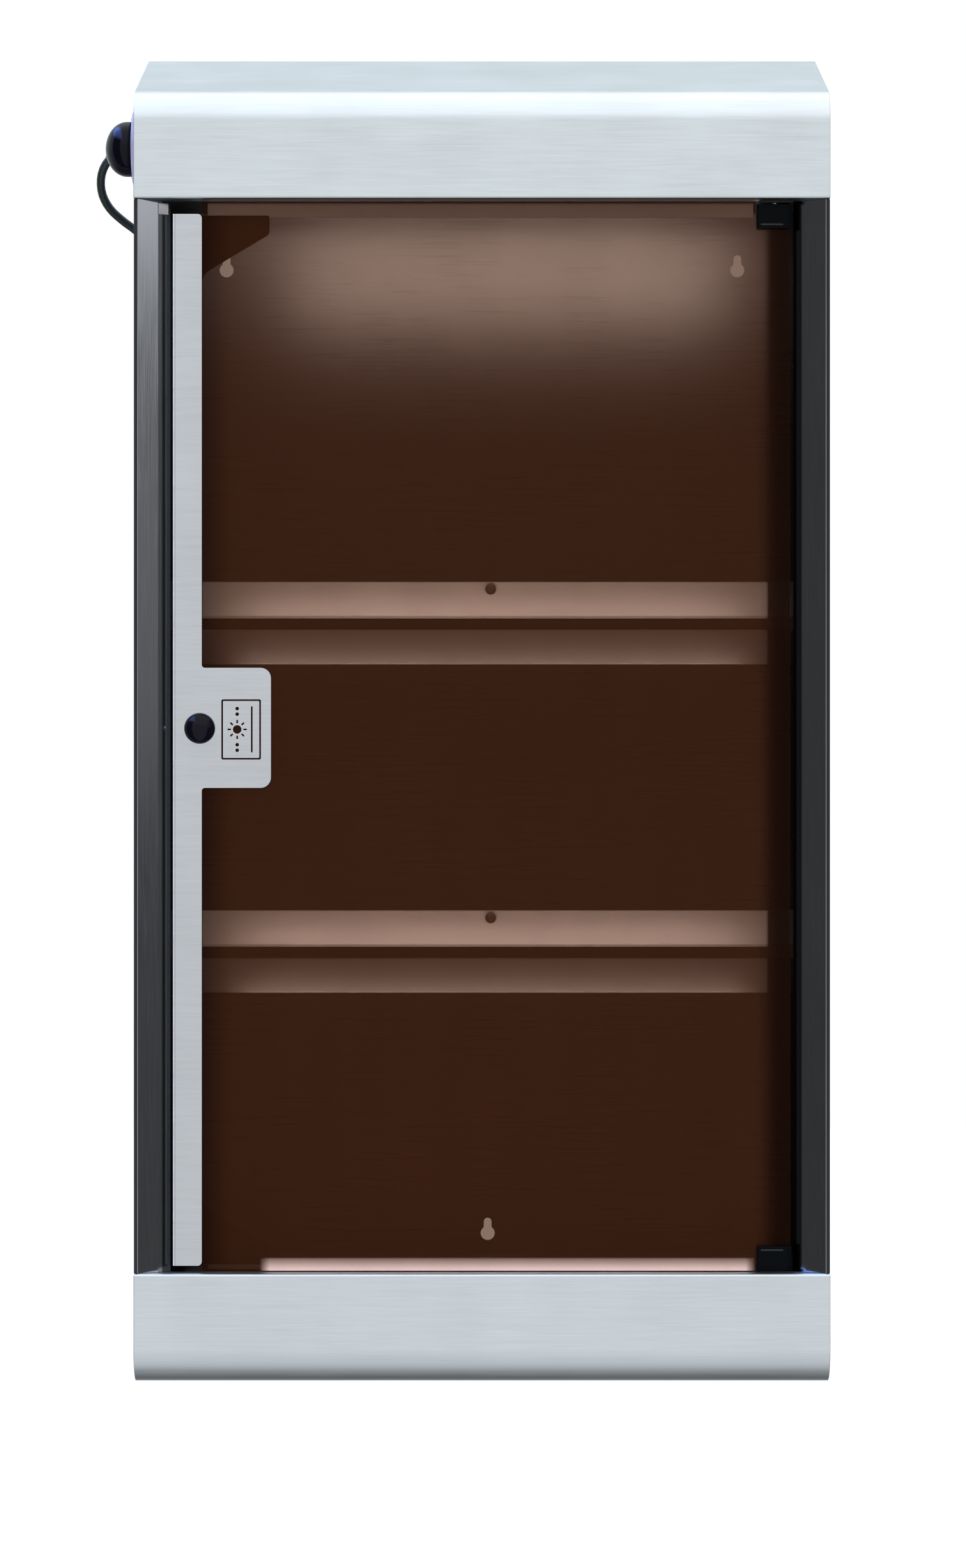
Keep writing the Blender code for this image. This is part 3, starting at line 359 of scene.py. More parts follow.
def make_finishes():
    """Every finish by the short name that paint() takes."""
    made = {
        "face": brushed("steel_face", (0.628, 0.686, 0.716), 0.34, "X", spread=0.09),
        "base": brushed("steel_base", (0.615, 0.672, 0.716), 0.36, "X", spread=0.09),
        "side": make_side_steel(),
        "tab": brushed("steel_tab", (0.60, 0.61, 0.64), 0.20, "Z", 0.0006),
        # Dark grey steel: painted shade of the closed chamber, lifted back to plain steel on the rear
        # face.
        "inside": brushed("steel_inside_painted_shade", (0.14, 0.14, 0.14), 0.30, "X", spread=0.03, metallic=0.5),
        "strip": brushed("steel_strip", (0.530, 0.557, 0.592), 0.32, "X", 0.0006, spread=0.09),
        "rack": brushed("rack_steel", (0.52, 0.50, 0.49), 0.38, "X", 0.0008, 0.06, 0.7),
        "lip": brushed("lip_steel", (0.62, 0.62, 0.62), 0.35, "X", 0.0006, 0.05, 0.6),
        "bright": make_bright_steel(),
        "zinc": make_zinc(),
        "gloss_black": moulded("gloss_black", (0.004, 0.004, 0.009), 0.07, 0.0015, 0.000002, 0.12),
        "satin_black": moulded("satin_black", (0.003, 0.004, 0.005), 0.42, 0.0004, 0.000008, 0.02),
        "black_zinc": moulded("black_zinc", (0.016, 0.018, 0.018), 0.50, 0.0005, 0.000006, 0.10),
        "striker": moulded("striker_black", (0.006, 0.004, 0.003), 0.60, 0.0005, 0.00001, 0.15),
        # Grey line on the clamps: a painted highlight.
        "line": moulded("clamp_highlight_line", (0.030, 0.038, 0.038), 0.5, 0.0005, 0.000004, 0.1),
        "bezel": moulded("bezel_white", (0.42, 0.42, 0.64), 0.30, 0.0005, 0.000008),
        "white": moulded("white_plastic", (0.78, 0.77, 0.80), 0.35, 0.0005, 0.000008),
        "grey": moulded("grey_plastic", (0.35, 0.36, 0.38), 0.45, 0.0005, 0.00001),
        "rubber": moulded("cord_rubber", (0.010, 0.018, 0.018), 0.42, 0.0004, 0.00001),
        "ferrite": moulded("ferrite", (0.055, 0.052, 0.050), 0.62, 0.0006, 0.00002),
        "wire": moulded("wire_insulation", (0.50, 0.08, 0.04), 0.45, 0.0006, 0.000006),
        "lamp": moulded("lamp_glass", (0.80, 0.84, 0.90), 0.12, 0.002, 0.000004),
        "pane": make_pane(),
    }
    # Painted shade towards the side panels, on the inside steel and on the racks.
    paint_shade_at_ends(made["inside"], BACK_PANEL_SHADE_X, 0.05)
    paint_shade_at_ends(made["rack"], RACK_SHADE_X, 0.03)
    # Painted highlight and painted shade along the strip's fold.
    paint_fold_highlight(made["strip"])
    made["lamp"].set("Emission Color", (0.62, 0.70, 1.0, 1.0))
    made["lamp"].set("Emission Strength", 1.5)
    return made


FINISH = make_finishes()


def paint(obj, finish):
    obj.data.materials.clear()
    obj.data.materials.append(FINISH[finish].material)


# ---- Modelling helpers -------------------------------------------------------------------------


def own(name, builder, finish, body, nodes=(), angle=32.0):
    """A piece made in the row frame: painted, and told what it rides on and replaces."""
    obj = link_new(name, to_mesh(builder, name, angle))
    paint(obj, finish)
    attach(obj, body)
    if nodes:
        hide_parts(*nodes)
    return obj


def to_mesh(builder, name, angle=32.0):
    """A mesh with smooth faces, sharp wherever two faces meet at more than the angle."""
    limit = math.radians(angle)
    for face in builder.faces:
        face.smooth = True
    for edge in builder.edges:
        edge.smooth = len(edge.link_faces) == 2 and edge.calc_face_angle(0.0) < limit
    mesh = bpy.data.meshes.new(name)
    builder.to_mesh(mesh)
    builder.free()
    return mesh


def soften(obj, width, segments=2):
    """Rounded edges that keep flat faces flat."""
    bevel = obj.modifiers.new("edges", "BEVEL")
    bevel.width = width
    bevel.segments = segments
    bevel.limit_method = "ANGLE"
    bevel.angle_limit = math.radians(32.0)
    bevel.use_clamp_overlap = True
    weighted(obj)


def weighted(obj):
    """Shade by the largest face at each corner, so that flat sheet stays flat beside a bend."""
    normals = obj.modifiers.new("normals", "WEIGHTED_NORMAL")
    normals.mode = "FACE_AREA"
    normals.weight = 80
    normals.keep_sharp = True


def dissolve_flat(builder, angle):
    """Merge triangles that lie in one plane into clean faces."""
    limit = math.radians(angle)
    bmesh.ops.dissolve_limit(builder, angle_limit=limit, verts=builder.verts, edges=builder.edges)


def refine(node, finish, width, segments=2, angle=32.0):
    """The CAD solid again, with its triangles merged to clean faces and its edges rounded."""
    builder = bmesh.new()
    builder.from_mesh(NODES[node].data)
    bmesh.ops.remove_doubles(builder, verts=builder.verts, dist=0.000002)
    dissolve_flat(builder, 0.6)
    obj = own(node + "_fine", builder, finish, BODY_OF[node], [node], angle)
    if width:
        soften(obj, width, segments)
    else:
        weighted(obj)


def box_of(node):
    """A node's lowest and highest corners, and its middle."""
    low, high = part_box(node)
    return low, high, (low + high) / 2


def circle(centre, radius, steps):
    points = []
    for step in range(steps):
        angle = 2 * math.pi * step / steps
        points.append((centre[0] + radius * math.cos(angle), centre[1] + radius * math.sin(angle)))
    return points


def arc(centre, radius, start, end, steps):
    """Points (radius, height) on an arc of a profile, angles in degrees."""
    points = []
    for step in range(steps + 1):
        angle = math.radians(start + (end - start) * step / steps)
        points.append((centre[0] + radius * math.cos(angle), centre[1] + radius * math.sin(angle)))
    return points


def dome(radius, low, top, steps):
    """A quarter of an ellipse, from just inside (radius, low) to the axis at the top."""
    points = []
    for step in range(1, steps):
        angle = math.pi / 2 * step / steps
        points.append((radius * math.cos(angle), low + (top - low) * math.sin(angle)))
    return points + [(0.0, top)]


def turned(builder, profile, place, steps=64):
    """Turn a profile of (radius, height) round local Z. A radius of zero is a point on the axis."""
    rings = []
    for radius, height in profile:
        ring = circle((0.0, 0.0), radius, steps) if radius else [(0.0, 0.0)]
        rings.append([builder.verts.new(place @ Vector((x, y, height))) for x, y in ring])
    for first, second in zip(rings, rings[1:]):
        for step in range(steps):
            after = (step + 1) % steps
            if len(first) == 1:
                corners = (first[0], second[step], second[after])
            elif len(second) == 1:
                corners = (first[step], second[0], first[after])
            else:
                corners = (first[step], second[step], second[after], first[after])
            builder.faces.new(corners)
    bmesh.ops.recalc_face_normals(builder, faces=builder.faces)


def bridge(builder, first, second):
    """Faces between two closed loops of as many points."""
    for index in range(len(first)):
        after = (index + 1) % len(first)
        builder.faces.new((first[index], first[after], second[after], second[index]))


def add_block(builder, size, place):
    """A box of the given size, moved to its place."""
    corners = bmesh.ops.create_cube(builder, size=1.0)["verts"]
    bmesh.ops.scale(builder, vec=size, verts=corners)
    bmesh.ops.transform(builder, matrix=place, verts=corners)


def outline_with_radii(points, radii, steps=8):
    """A closed outline of 2D points, each corner turned into an arc of its own radius."""
    result = []
    for index, (corner, radius) in enumerate(zip(map(Vector, points), radii)):
        if not radius:
            result.append(corner)
            continue
        back = (Vector(points[index - 1]) - corner).normalized()
        ahead = (Vector(points[(index + 1) % len(points)]) - corner).normalized()
        half = back.angle(ahead) / 2
        centre = corner + (back + ahead).normalized() * radius / math.sin(half)
        spoke = corner + back * radius / math.tan(half) - centre
        left_turn = back.x * ahead.y - back.y * ahead.x < 0
        sweep = (math.pi - 2 * half) * (1 if left_turn else -1)
        for step in range(steps + 1):
            angle = sweep * step / steps
            turn_x = spoke.x * math.cos(angle) - spoke.y * math.sin(angle)
            turn_y = spoke.x * math.sin(angle) + spoke.y * math.cos(angle)
            result.append(centre + Vector((turn_x, turn_y)))
    return result


def rectangle(left, low, right, high, radius, steps=4):
    """Outline of an upright rectangle with rounded corners."""
    corners = [(left, low), (right, low), (right, high), (left, high)]
    return outline_with_radii(corners, [radius] * 4, steps)


def cut_plate(outlines, thickness, place):
    """A flat plate of one outline with holes, in local XY, moved to its place."""
    curve = bpy.data.curves.new("outline", "CURVE")
    curve.dimensions = "2D"
    curve.fill_mode = "BOTH"
    curve.extrude = thickness / 2
    for outline in outlines:
        spline = curve.splines.new("POLY")
        spline.points.add(len(outline) - 1)
        for point, at in zip(spline.points, outline):
            point.co = (at[0], at[1], 0.0, 1.0)
        spline.use_cyclic_u = True
    drawn = link_new("outline", curve)
    graph = bpy.context.evaluated_depsgraph_get()
    mesh = bpy.data.meshes.new_from_object(drawn.evaluated_get(graph))
    bpy.data.objects.remove(drawn, do_unlink=True)
    builder = bmesh.new()
    builder.from_mesh(mesh)
    bpy.data.meshes.remove(mesh)
    bmesh.ops.remove_doubles(builder, verts=builder.verts, dist=0.000005)
    dissolve_flat(builder, 0.5)
    bmesh.ops.recalc_face_normals(builder, faces=builder.faces)
    bmesh.ops.transform(builder, matrix=place, verts=builder.verts)
    return builder


def smooth_route(points, spacing):
    """Points about one spacing apart on a Catmull-Rom curve through the given points."""
    knots = [Vector(point) for point in points]
    knots = [2 * knots[0] - knots[1]] + knots + [2 * knots[-1] - knots[-2]]
    fine = []
    for before, start, end, after in zip(knots, knots[1:], knots[2:], knots[3:]):
        for step in range(24):
            t = step / 24
            fine.append(
                0.5
                * (
                    2 * start
                    + (end - before) * t
                    + (2 * before - 5 * start + 4 * end - after) * t**2
                    + (3 * start - before - 3 * end + after) * t**3
                )
            )
    fine.append(knots[-2])
    route = [fine[0]]
    travelled = 0.0
    for start, end in zip(fine, fine[1:]):
        travelled += (end - start).length
        if travelled >= spacing:
            route.append(end)
            travelled = 0.0
    if (route[-1] - fine[-1]).length < spacing / 2:
        route.pop()
    return route + [fine[-1]]


# ---- Mains cord --------------------------------------------------------------------------------

CORD_RADIUS = 0.00315
CORD_STEP = 0.0040
COIL_RADIUS = 0.0350
COIL_TURNS = 4
COIL_PITCH = 0.0067
COIL_CENTRE = (-0.1300, 0.1470)
COIL_LOW = 0.0013 + CORD_RADIUS
COIL_HIGH = COIL_LOW + COIL_TURNS * COIL_PITCH
COIL_FRONT = COIL_CENTRE[1] - COIL_RADIUS
PLUG_X = -0.0660
PLUG_Z = 0.0186
BOOT_ROUTE = [
    (-0.2545, 0.0400, 0.9040),
    (-0.2625, 0.0401, 0.9032),
    (-0.2706, 0.0408, 0.9002),
    (-0.2772, 0.0424, 0.8950),
]
CORD_ROUTE = BOOT_ROUTE + [
    (-0.2818, 0.0450, 0.8880),
    (-0.2838, 0.0488, 0.8795),
    (-0.2828, 0.0548, 0.8700),
    (-0.2779, 0.0626, 0.8610),
    (-0.2695, 0.0708, 0.8535),
    (-0.2592, 0.0780, 0.8462),
    (-0.2492, 0.0826, 0.8375),
    (-0.2412, 0.0844, 0.8262),
    (-0.2362, 0.0848, 0.8120),
    (-0.2342, 0.0848, 0.7930),
    (-0.2337, 0.0847, 0.7500),
    (-0.2335, 0.0846, 0.6300),
    (-0.2334, 0.0846, 0.4800),
    (-0.2334, 0.0846, 0.3300),
    (-0.2333, 0.0847, 0.1800),
    (-0.2330, 0.0849, 0.0900),
    (-0.2313, 0.0861, 0.0520),
    (-0.2251, 0.0893, 0.0235),
    (-0.2130, 0.0948, 0.0082),
    (-0.1972, 0.1020, 0.0040),
    (-0.1800, 0.1086, 0.0040),
    (-0.1620, 0.1116, 0.0043),
    (COIL_CENTRE[0] - 0.0160, COIL_FRONT, COIL_LOW),
]
TAIL_ROUTE = [
    (COIL_CENTRE[0] + 0.0100, COIL_FRONT, COIL_HIGH),
    (COIL_CENTRE[0] + 0.0200, COIL_FRONT, COIL_HIGH - 0.0001),
    (COIL_CENTRE[0] + 0.0320, COIL_FRONT, COIL_HIGH - 0.0033),
    (COIL_CENTRE[0] + 0.0440, COIL_FRONT, PLUG_Z + 0.0043),
    (COIL_CENTRE[0] + 0.0540, COIL_FRONT, PLUG_Z + 0.0008),
    (PLUG_X - 0.0003, COIL_FRONT, PLUG_Z),
]


def coil_points(steps=28):
    points = []
    for step in range(COIL_TURNS * steps + 1):
        angle = -math.pi / 2 + 2 * math.pi * step / steps
        height = COIL_LOW + COIL_PITCH * step / steps
        x = COIL_CENTRE[0] + COIL_RADIUS * math.cos(angle)
        points.append((x, COIL_CENTRE[1] + COIL_RADIUS * math.sin(angle), height))
    return points


def tube_curve(name, points, radius):
    curve = bpy.data.curves.new(name, "CURVE")
    curve.dimensions = "3D"
    curve.bevel_depth = radius
    curve.bevel_resolution = 5
    curve.use_fill_caps = True
    spline = curve.splines.new("POLY")
    spline.points.add(len(points) - 1)
    for point, co in zip(spline.points, points):
        point.co = (*co, 1.0)
    spline.use_smooth = True
    return curve


def ribbed_boot(route, root, tip, ribs):
    """Strain relief: a tapering sleeve on the route, with a collar at its root and open ribs."""
    line = smooth_route(route, 0.0004)
    last = len(line) - 1
    groove = 0.0011
    builder = bmesh.new()
    rings = []
    across = Vector((0.0, 1.0, 0.0))
    for index, point in enumerate(line):
        share = index / last
        ahead = (line[min(index + 1, last)] - line[max(index - 1, 0)]).normalized()
        across = (across - ahead * across.dot(ahead)).normalized()
        up = ahead.cross(across)
        radius = root + (tip - root) * share
        if 0.16 < share < 0.94:
            wave = math.sin(math.pi * share * ribs) ** 2
            radius -= groove * (1.0 - min(1.0, wave * 2.2))
        if share > 0.97:
            radius -= 0.0005
        ring = circle((0.0, 0.0), radius, 32)
        rings.append([builder.verts.new(point + across * x + up * y) for x, y in ring])
    for first, second in zip(rings, rings[1:]):
        bridge(builder, first, second)
    builder.faces.new(rings[0])
    builder.faces.new(rings[-1])
    bmesh.ops.recalc_face_normals(builder, faces=builder.faces)
    return builder


def make_cord():
    coil = [Vector(point) for point in coil_points()]
    run = smooth_route(CORD_ROUTE + coil[:2], CORD_STEP)
    run = [point for point in run if point.x < COIL_CENTRE[0] - CORD_STEP / 2]
    tail = smooth_route([coil[-1]] + TAIL_ROUTE, CORD_STEP)
    points = run + coil + tail[1:]
    curve = tube_curve("mains_lead", points, CORD_RADIUS)
    curve.materials.append(FINISH["rubber"].material)
    cord = link_new("mains_lead", curve)
    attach(cord, "cabinet")
    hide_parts("mains_cord", "cord_coil", "cord_tail")
    sleeve = ribbed_boot(BOOT_ROUTE, 0.0055, 0.0042, 7)
    boot = own(
        "lead_strain_relief", sleeve, "rubber", "cabinet", ["cord_strain_relief"], 60.0
    )
    plug = make_plug()
    tie = make_tie()


def make_plug():
    """Round moulded plug with a finger rim, a ribbed neck and two pins."""
    place = Matrix.Translation((PLUG_X, COIL_FRONT, PLUG_Z)) @ AXIS_X
    profile = [(0.0, 0.0), (0.0042, 0.0)]
    for ridge in range(4):
        start = 0.0006 + ridge * 0.0026
        swell = 0.0050 + ridge * 0.0006
        dip = swell - 0.0008
        profile += [(dip, start), (swell, start + 0.0003)]
        profile += [(swell, start + 0.0016), (dip, start + 0.0019)]
    profile += [(0.0080, 0.0115), (0.0112, 0.0138), (0.0142, 0.0165), (0.0158, 0.0195), (0.0166, 0.0235)]
    profile += arc((0.0170, 0.0262), 0.0008, -60, 60, 4)
    profile += [(0.0168, 0.0285), (0.0170, 0.0400)]
    profile += arc((0.0158, 0.0415), 0.0015, 0, 90, 4)
    profile += [(0.0, 0.0430)]
    builder = bmesh.new()
    turned(builder, profile, place)
    plug = own("lead_plug", builder, "rubber", "cabinet", ["mains_plug"], 40.0)
    pin_profile = [(0.0, 0.0), (0.0024, 0.0), (0.0024, 0.0175)]
    pin_profile += arc((0.0014, 0.0175), 0.0010, 0, 90, 4) + [(0.0, 0.0185)]
    for name, side in (("left", -1), ("right", 1)):
        at = Matrix.Translation((PLUG_X + 0.0425, COIL_FRONT + side * 0.0095, PLUG_Z)) @ AXIS_X
        builder = bmesh.new()
        turned(builder, pin_profile, at, 32)
        pin = own(f"plug_pin_{name}", builder, "bright", "cabinet", angle=40.0)
        pin.parent = plug
    return plug


def make_tie():
    """A flat band round the coil's turns, with its small head on the outside."""
    low, high, middle = box_of("cord_tie")
    band = 0.0009
    half_width = 0.0024
    builder = bmesh.new()
    loops = []
    for inset in (0.0, band):
        outline = rectangle(
            low.y + inset, low.z + inset, high.y - inset, high.z - inset, 0.0030 - inset, 6
        )
        for x in (middle.x - half_width, middle.x + half_width):
            loops.append([builder.verts.new((x, point.x, point.y)) for point in outline])
    outer_left, outer_right, inner_left, inner_right = loops
    bridge(builder, outer_left, outer_right)
    bridge(builder, outer_right, inner_right)
    bridge(builder, inner_right, inner_left)
    bridge(builder, inner_left, outer_left)
    bmesh.ops.recalc_face_normals(builder, faces=builder.faces)
    head_at = Matrix.Translation((middle.x, high.y + 0.0002, middle.z))
    add_block(builder, (0.0068, 0.0014, 0.0070), head_at)
    tie = own("lead_tie", builder, "satin_black", "cabinet", ["cord_tie"])
    soften(tie, 0.0003)
    return tie


make_cord()


# ---- Cabinet sheets ----------------------------------------------------------------------------


def make_flange_tab():
    """Short tongue at the top of the left flange, in the plane of the flange."""
    front = [(-0.2326, -0.0656), (-0.2257, -0.0617)]
    behind = [(-0.2257, -0.0605), (-0.2326, -0.0644)]
    builder = bmesh.new()
    rings = []
    for level in (0.8410, 0.8492):
        rings.append([builder.verts.new((x, y, level)) for x, y in front + behind])
    low, high = rings
    bridge(builder, low, high)
    builder.faces.new(low[::-1])
    builder.faces.new(high)
    soften(own("flange_tab", builder, "tab", "cabinet"), 0.0002)


def make_sheets():
    for node in ("hood_skin", "hood_cheek_left", "hood_cheek_right"):
        refine(node, "face", 0.00035)
    for node in ("base_skin", "base_cheek_left", "base_cheek_right"):
        refine(node, "base", 0.00035)
    for node in ("side_panel_left", "side_panel_right"):
        refine(node, "side", 0.0, angle=5.0)
    make_flange_tab()
    refine("back_panel", "inside", 0.0002)
    refine("chamber_floor", "inside", 0.0002)
    for node in ("door_stop_top", "door_stop_bottom"):
        refine(node, "lip", 0.0003)
    for name in ("upper", "lower"):
        refine(f"rack_rail_{name}", "rack", 0.00025)
        refine(f"rack_plate_{name}", "rack", 0.00025)
        refine(f"rack_magnet_{name}", "ferrite", 0.0004)
    refine("door_glass", "pane", 0.0004)
    refine("door_striker_plate", "striker", 0.0002)
    for name in ("top", "bottom"):
        refine(f"hinge_bracket_{name}", "black_zinc", 0.00015)
        refine(f"catch_magnet_{name}", "ferrite", 0.0004)


# ---- Door --------------------------------------------------------------------------------------

KNOB_AT = (-0.2028, 0.4710)
SUN_AT = (-0.1762, 0.4703)
FRAME_LOW = (-0.1876, 0.4486)
FRAME_HIGH = (-0.1591, 0.4920)
MARK_LINE = 0.0012
STRIP_RIGHT = -0.2017
STRIP_THICK = 0.0010
STRIP_FOLD = 0.0060
TAB_LOW = 0.4282
TAB_HIGH = 0.5147


def bar(start, end, width):
    """Outline of a straight slot with rounded ends."""
    ahead = (Vector(end) - Vector(start)).normalized()
    side = Vector((-ahead.y, ahead.x)) * width / 2
    corners = [Vector(start) - side, Vector(end) - side, Vector(end) + side, Vector(start) + side]
    return outline_with_radii([tuple(corner) for corner in corners], [width * 0.45] * 4, 4)


def tab_marks():
    """Cut lines in the tab: a plain frame round a sun sign, four dots and an upright bar."""
    left, low = FRAME_LOW
    right, high = FRAME_HIGH
    line = MARK_LINE
    centre = Vector(SUN_AT)
    marks = [
        rectangle(left, low, right, high, line),
        rectangle(left + line, low + line, right - line, high - line, line / 2),
        circle(centre, 0.0031, 32),
    ]
    for index in range(8):
        angle = 2 * math.pi * index / 8
        ahead = Vector((math.cos(angle), math.sin(angle)))
        marks.append(bar(centre + ahead * 0.0044, centre + ahead * 0.0070, line))
    for rise in (-0.0150, -0.0110, 0.0110, 0.0150):
        marks.append(circle((centre.x, centre.y + rise), 0.0013, 20))
    marks.append(bar((-0.1657, 0.4537), (-0.1657, 0.4870), line))
    return marks


def make_handle_strip():
    """The strip on the glass: its face with the tab's cuts, and its outer edge folded back."""
    low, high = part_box("door_handle_strip")
    thick = STRIP_THICK
    face_left = low.x + 0.0004
    corners = [
        (face_left, low.z),
        (STRIP_RIGHT, low.z),
        (STRIP_RIGHT, TAB_LOW),
        (high.x, TAB_LOW),
        (high.x, TAB_HIGH),
        (STRIP_RIGHT, TAB_HIGH),
        (STRIP_RIGHT, high.z),
        (face_left, high.z),
    ]
    radii = (0.0, 0.0030, 0.0022, 0.0075, 0.0075, 0.0022, 0.0030, 0.0)
    outlines = [outline_with_radii(corners, radii)] + tab_marks() + [circle(KNOB_AT, 0.0024, 24)]
    face_place = Matrix.Translation((0.0, low.y + thick / 2, 0.0)) @ AXIS_MINUS_Y
    builder = cut_plate(outlines, thick, face_place)
    start = low.x + 0.0006
    end = low.x + STRIP_FOLD
    outer = outline_with_radii(
        [(start, low.y), (low.x, low.y), (low.x, high.y), (end, high.y)], (0.0, 0.0008, 0.0008, 0.0), 5
    )
    inner = outline_with_radii(
        [
            (start, low.y + thick),
            (low.x + thick, low.y + thick),
            (low.x + thick, high.y - thick),
            (end, high.y - thick),
        ],
        (0.0, 0.0002, 0.0002, 0.0),
        5,
    )
    columns = []
    for point in outer + inner[::-1]:
        columns.append([builder.verts.new((point.x, point.y, level)) for level in (low.z, high.z)])
    bottom, top = zip(*columns)
    bridge(builder, bottom, top)
    builder.faces.new(bottom)
    builder.faces.new(top)
    bmesh.ops.recalc_face_normals(builder, faces=builder.faces)
    strip = own("handle_strip", builder, "strip", "door", ["door_handle_strip"])
    soften(strip, 0.0002)


def make_door_knob():
    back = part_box("door_knob")[1].y
    place = Matrix.Translation((KNOB_AT[0], back, KNOB_AT[1])) @ AXIS_MINUS_Y
    profile = [(0.0, 0.0), (0.0066, 0.0), (0.0066, 0.0022), (0.0072, 0.0031), (0.0095, 0.0044)]
    profile += arc((0.0098, 0.0060), 0.0014, -60, 20, 6)
    profile += dome(0.0111, 0.0070, 0.0140, 16)
    builder = bmesh.new()
    turned(builder, profile, place, 72)
    knob = own("pull_knob", builder, "gloss_black", "door", ["door_knob"], 50.0)
    knob.visible_glossy = False


def screw_head(name, place, radius, height, body, node, shank):
    """A domed head with a cross recess, on a short shank."""
    core = radius * 0.45
    rim = height * 0.22
    profile = [(0.0, -shank), (core, -shank), (core, 0.0), (radius, 0.0), (radius, rim)]
    builder = bmesh.new()
    turned(builder, profile + dome(radius, rim, height, 8), place, 48)
    head = own(name, builder, "bright", body, [node], 40.0)
    for turn in (0.0, math.pi / 2):
        slot = bmesh.new()
        at = place @ Matrix.Translation((0, 0, height * 1.1)) @ Matrix.Rotation(turn, 4, "Z")
        add_block(slot, (radius * 1.15, radius * 0.24, height * 1.4), at)
        apply_cut(head, to_mesh(slot, "recess"))


def apply_cut(obj, cutter_mesh):
    """Subtract a mesh for good, so that no cutter stays in the scene."""
    cutter = link_new("cutter", cutter_mesh)
    change = obj.modifiers.new("cut", "BOOLEAN")
    change.operation = "DIFFERENCE"
    change.solver = "EXACT"
    change.object = cutter
    bpy.context.view_layer.update()
    graph = bpy.context.evaluated_depsgraph_get()
    cut = bpy.data.meshes.new_from_object(obj.evaluated_get(graph))
    obj.modifiers.remove(change)
    obj.data = cut
    bpy.data.objects.remove(cutter, do_unlink=True)


def make_screws():
    rack_head = 0.0026
    knob_head = 0.0024
    for name in ("upper", "lower"):
        node = f"rack_screw_{name}"
        low, high, middle = box_of(node)
        base = low.y + rack_head
        place = Matrix.Translation((middle.x, base, middle.z)) @ AXIS_MINUS_Y
        screw_head(f"rack_bolt_{name}", place, 0.0043, rack_head, "cabinet", node, high.y - base)
    low, high, middle = box_of("door_knob_screw")
    base = high.y - knob_head
    place = Matrix.Translation((middle.x, base, middle.z)) @ AXIS_MINUS_Y.inverted()
    screw_head("knob_bolt", place, 0.0042, knob_head, "door", "door_knob_screw", base - low.y)


def make_clamps():
    """The black clamps on the glass, each with a fine line near the edge that faces the pane, lighter
    than the clamp: a painted highlight on a thin piece.
    """
    half_line = 0.0005
    for name in ("top", "bottom"):
        node = f"hinge_clamp_{name}"
        refine(node, "satin_black", 0.0004, 3)
        low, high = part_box(node)
        level = low.z + 0.0026 if name == "top" else high.z - 0.0026
        line = rectangle(
            low.x + 0.0026, level - half_line, high.x - 0.0065, level + half_line, 0.00045
        )
        place = Matrix.Translation((0.0, low.y - 0.00012, 0.0)) @ AXIS_MINUS_Y
        builder = cut_plate([line], 0.0004, place)
        soften(own(f"clamp_highlight_line_{name}", builder, "line", "door"), 0.0001)
        for part in ("hinge_pin", "hinge_grub_screw"):
            paint(NODES[f"{part}_{name}"], "bright")


# ---- Timer and cord entry ----------------------------------------------------------------------

SCALE_MARKS = 25
SCALE_SWEEP = 300
TIMER_RADIUS = 0.0200


def make_timer():
    """Bezel with its scale, and the domed knob with a pointer."""
    _, high, centre = box_of("timer_bezel")
    place = Matrix.Translation((high.x, centre.y, centre.z)) @ AXIS_MINUS_X
    profile = [(0.0112, 0.0), (0.0275, 0.0), (0.0275, 0.0026)]
    profile += arc((0.0262, 0.0032), 0.0012, 0, 80, 5)
    profile += [(0.0240, 0.0047), (0.0215, 0.0044), (0.0213, 0.0050), (0.0112, 0.0050), (0.0112, 0.0)]
    builder = bmesh.new()
    turned(builder, profile, place, 96)
    bmesh.ops.remove_doubles(builder, verts=builder.verts, dist=0.000002)
    bmesh.ops.recalc_face_normals(builder, faces=builder.faces)
    own("timer_ring", builder, "bezel", "cabinet", ["timer_bezel"], 40.0)
    builder = bmesh.new()
    for index in range(SCALE_MARKS):
        angle = math.radians(SCALE_SWEEP * (index / (SCALE_MARKS - 1) - 0.5))
        reach, length, width = (0.0234, 0.0026, 0.0006) if index % 4 == 0 else (0.0240, 0.0014, 0.0004)
        turn = Matrix.Rotation(angle + math.pi / 2, 4, "Z") @ Matrix.Translation((reach, 0.0, 0.0047))
        add_block(builder, (length, width, 0.0003), place @ turn)
    own("timer_scale", builder, "satin_black", "cabinet")
    low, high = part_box("timer_knob")
    place = Matrix.Translation((high.x, centre.y, centre.z)) @ AXIS_MINUS_X
    profile = [(0.0034, 0.0), (0.0196, 0.0), (TIMER_RADIUS, 0.0004), (TIMER_RADIUS, 0.0034)]
    profile += dome(TIMER_RADIUS, 0.0036, high.x - low.x, 24)
    builder = bmesh.new()
    turned(builder, profile, place, 96)
    grip = own("timer_grip", builder, "gloss_black", "timer_dial", ["timer_knob"], 50.0)
    spot = Matrix.Translation((0.0, 0.0194, 0.0052)) @ Matrix.Rotation(math.radians(14.0), 4, "X")
    builder = bmesh.new()
    add_block(builder, (0.0009, 0.0008, 0.0050), place @ spot)
    pointer = own("timer_pointer", builder, "white", "timer_dial")
    soften(pointer, 0.0002)
    pointer.parent = grip


